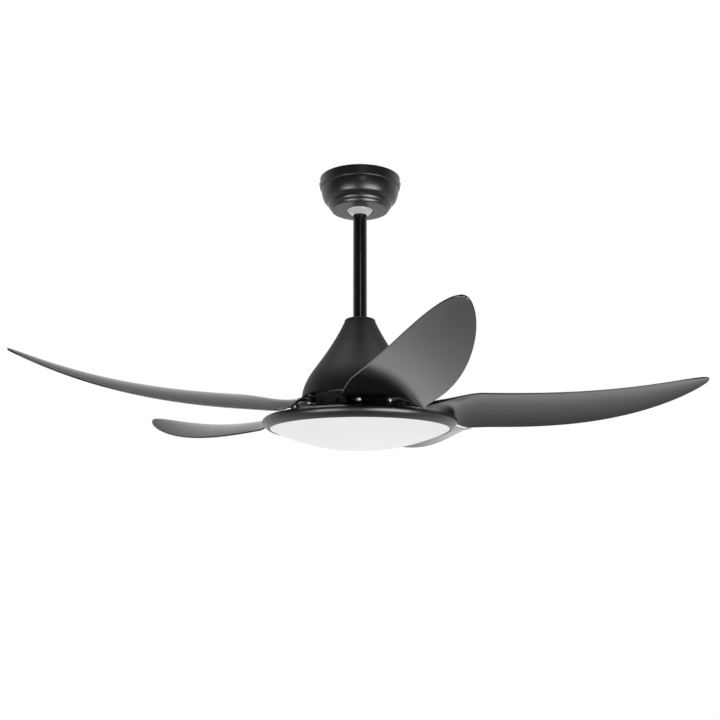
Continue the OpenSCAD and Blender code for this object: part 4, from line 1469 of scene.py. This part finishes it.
@dataclass
class Studio:
    """Pale floor, white surround, soft lights and the camera."""

    floor_level: float = -3.6
    floor_thickness: float = 0.02
    floor_radius: float = 14.0
    floor_glow: float = 0.3
    room_dark: float = 0.075
    backdrop_edge: float = 0.08
    backdrop_blur: float = 0.7
    dim_above: tuple[float, float, float] = (0.45, 0.5, 0.4)
    dim_below: tuple[float, float, float] = (0.9, 0.2, 0.25)
    camera_place: tuple[float, float, float] = (0.0, -1.7435, -0.716)
    camera_rise: float = 11.97
    lens: float = 49.27
    aim: tuple[float, float, float] = (0.0, 0.0, -0.35)
    lights: tuple[Softbox, ...] = (
        Softbox("right_low", 38.0, -28.0, 2.6, (2.0, 1.5), 14.0),
        Softbox("left_low", -38.0, -28.0, 2.6, (1.4, 1.3), 11.0),
        Softbox("rod_strip", 9.0, 15.0, 3.0, (0.3, 0.6), 8.0),
        Softbox("top_light", 180.0, 84.0, 2.4, (2.8, 1.1), 5.5),
        Softbox("front_fill", 0.0, -55.0, 2.4, (3.0, 3.0), 2.0, Share.FILL),
        Softbox("floor_light", 0.0, 55.0, 4.0, (4.0, 4.0), 2.0, Share.FILL),
    )

    def build(self) -> None:
        """Builds the whole set."""
        self.build_floor()
        self.build_surround()
        for light in self.lights:
            light.build(Vector(self.aim))
        self.build_camera()

    def build_floor(self) -> None:
        """Builds the floor as a round sheet far below the fan, which reflects nothing onto it."""
        top, under = self.floor_level, self.floor_level - self.floor_thickness
        sheet = Shell().lathe([
            (0.0, top), (0.0, under), (self.floor_radius, under), (self.floor_radius, top),
        ], 96).piece("studio_floor")
        recipe = Recipe("studio_floor")
        cloud = recipe.noise(1.2, 3.0)
        floor = recipe.finish(
            recipe.blend((0.8, 0.8, 0.8), (0.84, 0.84, 0.84), cloud), 0.7 + cloud * 0.1,
            Emission_Color=WHITE, Emission_Strength=self.floor_glow,
        )
        sheet.data.materials.append(floor)
        sheet.visible_glossy = sheet.visible_diffuse = False

    def build_surround(self) -> None:
        """Makes the room: a white backdrop, darker above, below and on the camera's side."""
        world = bpy.data.worlds.new("studio_room")
        world.use_nodes = True
        tree = NodeTree(world.node_tree, "Generated")
        _, ahead, up = tree.axes()
        back = ahead.above(self.backdrop_edge, self.backdrop_blur)
        level = self.room_dark + back * (1.0 - self.room_dark)
        for way, (limit, softness, loss) in ((up, self.dim_above), (-1.0 * up, self.dim_below)):
            level = level * (1.0 - way.above(limit, softness) * loss)
        seen = Signal(tree, tree.node("LightPath").outputs["Is Camera Ray"])
        strength = level.maths("MAXIMUM", seen)
        background = tree.node("Background", inputs={"Color": WHITE, "Strength": strength})
        tree.node("OutputWorld", inputs={"Surface": background.outputs[0]})
        bpy.context.scene.world = world
        bpy.context.scene.view_settings.view_transform = "Standard"

    def build_camera(self) -> None:
        """Adds the camera, level from side to side and looking slightly up."""
        data = bpy.data.cameras.new("camera")
        data.lens = self.lens
        made = bpy.data.objects.new("camera", data)
        made.location = self.camera_place
        made.rotation_euler = (math.radians(90 + self.camera_rise), 0.0, 0.0)
        bpy.context.scene.collection.objects.link(made)
        bpy.context.scene.camera = made


def main() -> None:
    """Builds the studio, then builds and dresses every sub-assembly in order."""
    logging.basicConfig(level=logging.INFO, format="%(name)s %(message)s")
    Studio().build()
    for part in (CeilingMount(), HangingRod(), MotorCovers(), Motor(), Rotor(), RoundLight()):
        LOG.info("sub-assembly %s", type(part).__name__)
        part.build()
        part.dress()


if __name__ == "__main__":
    main()
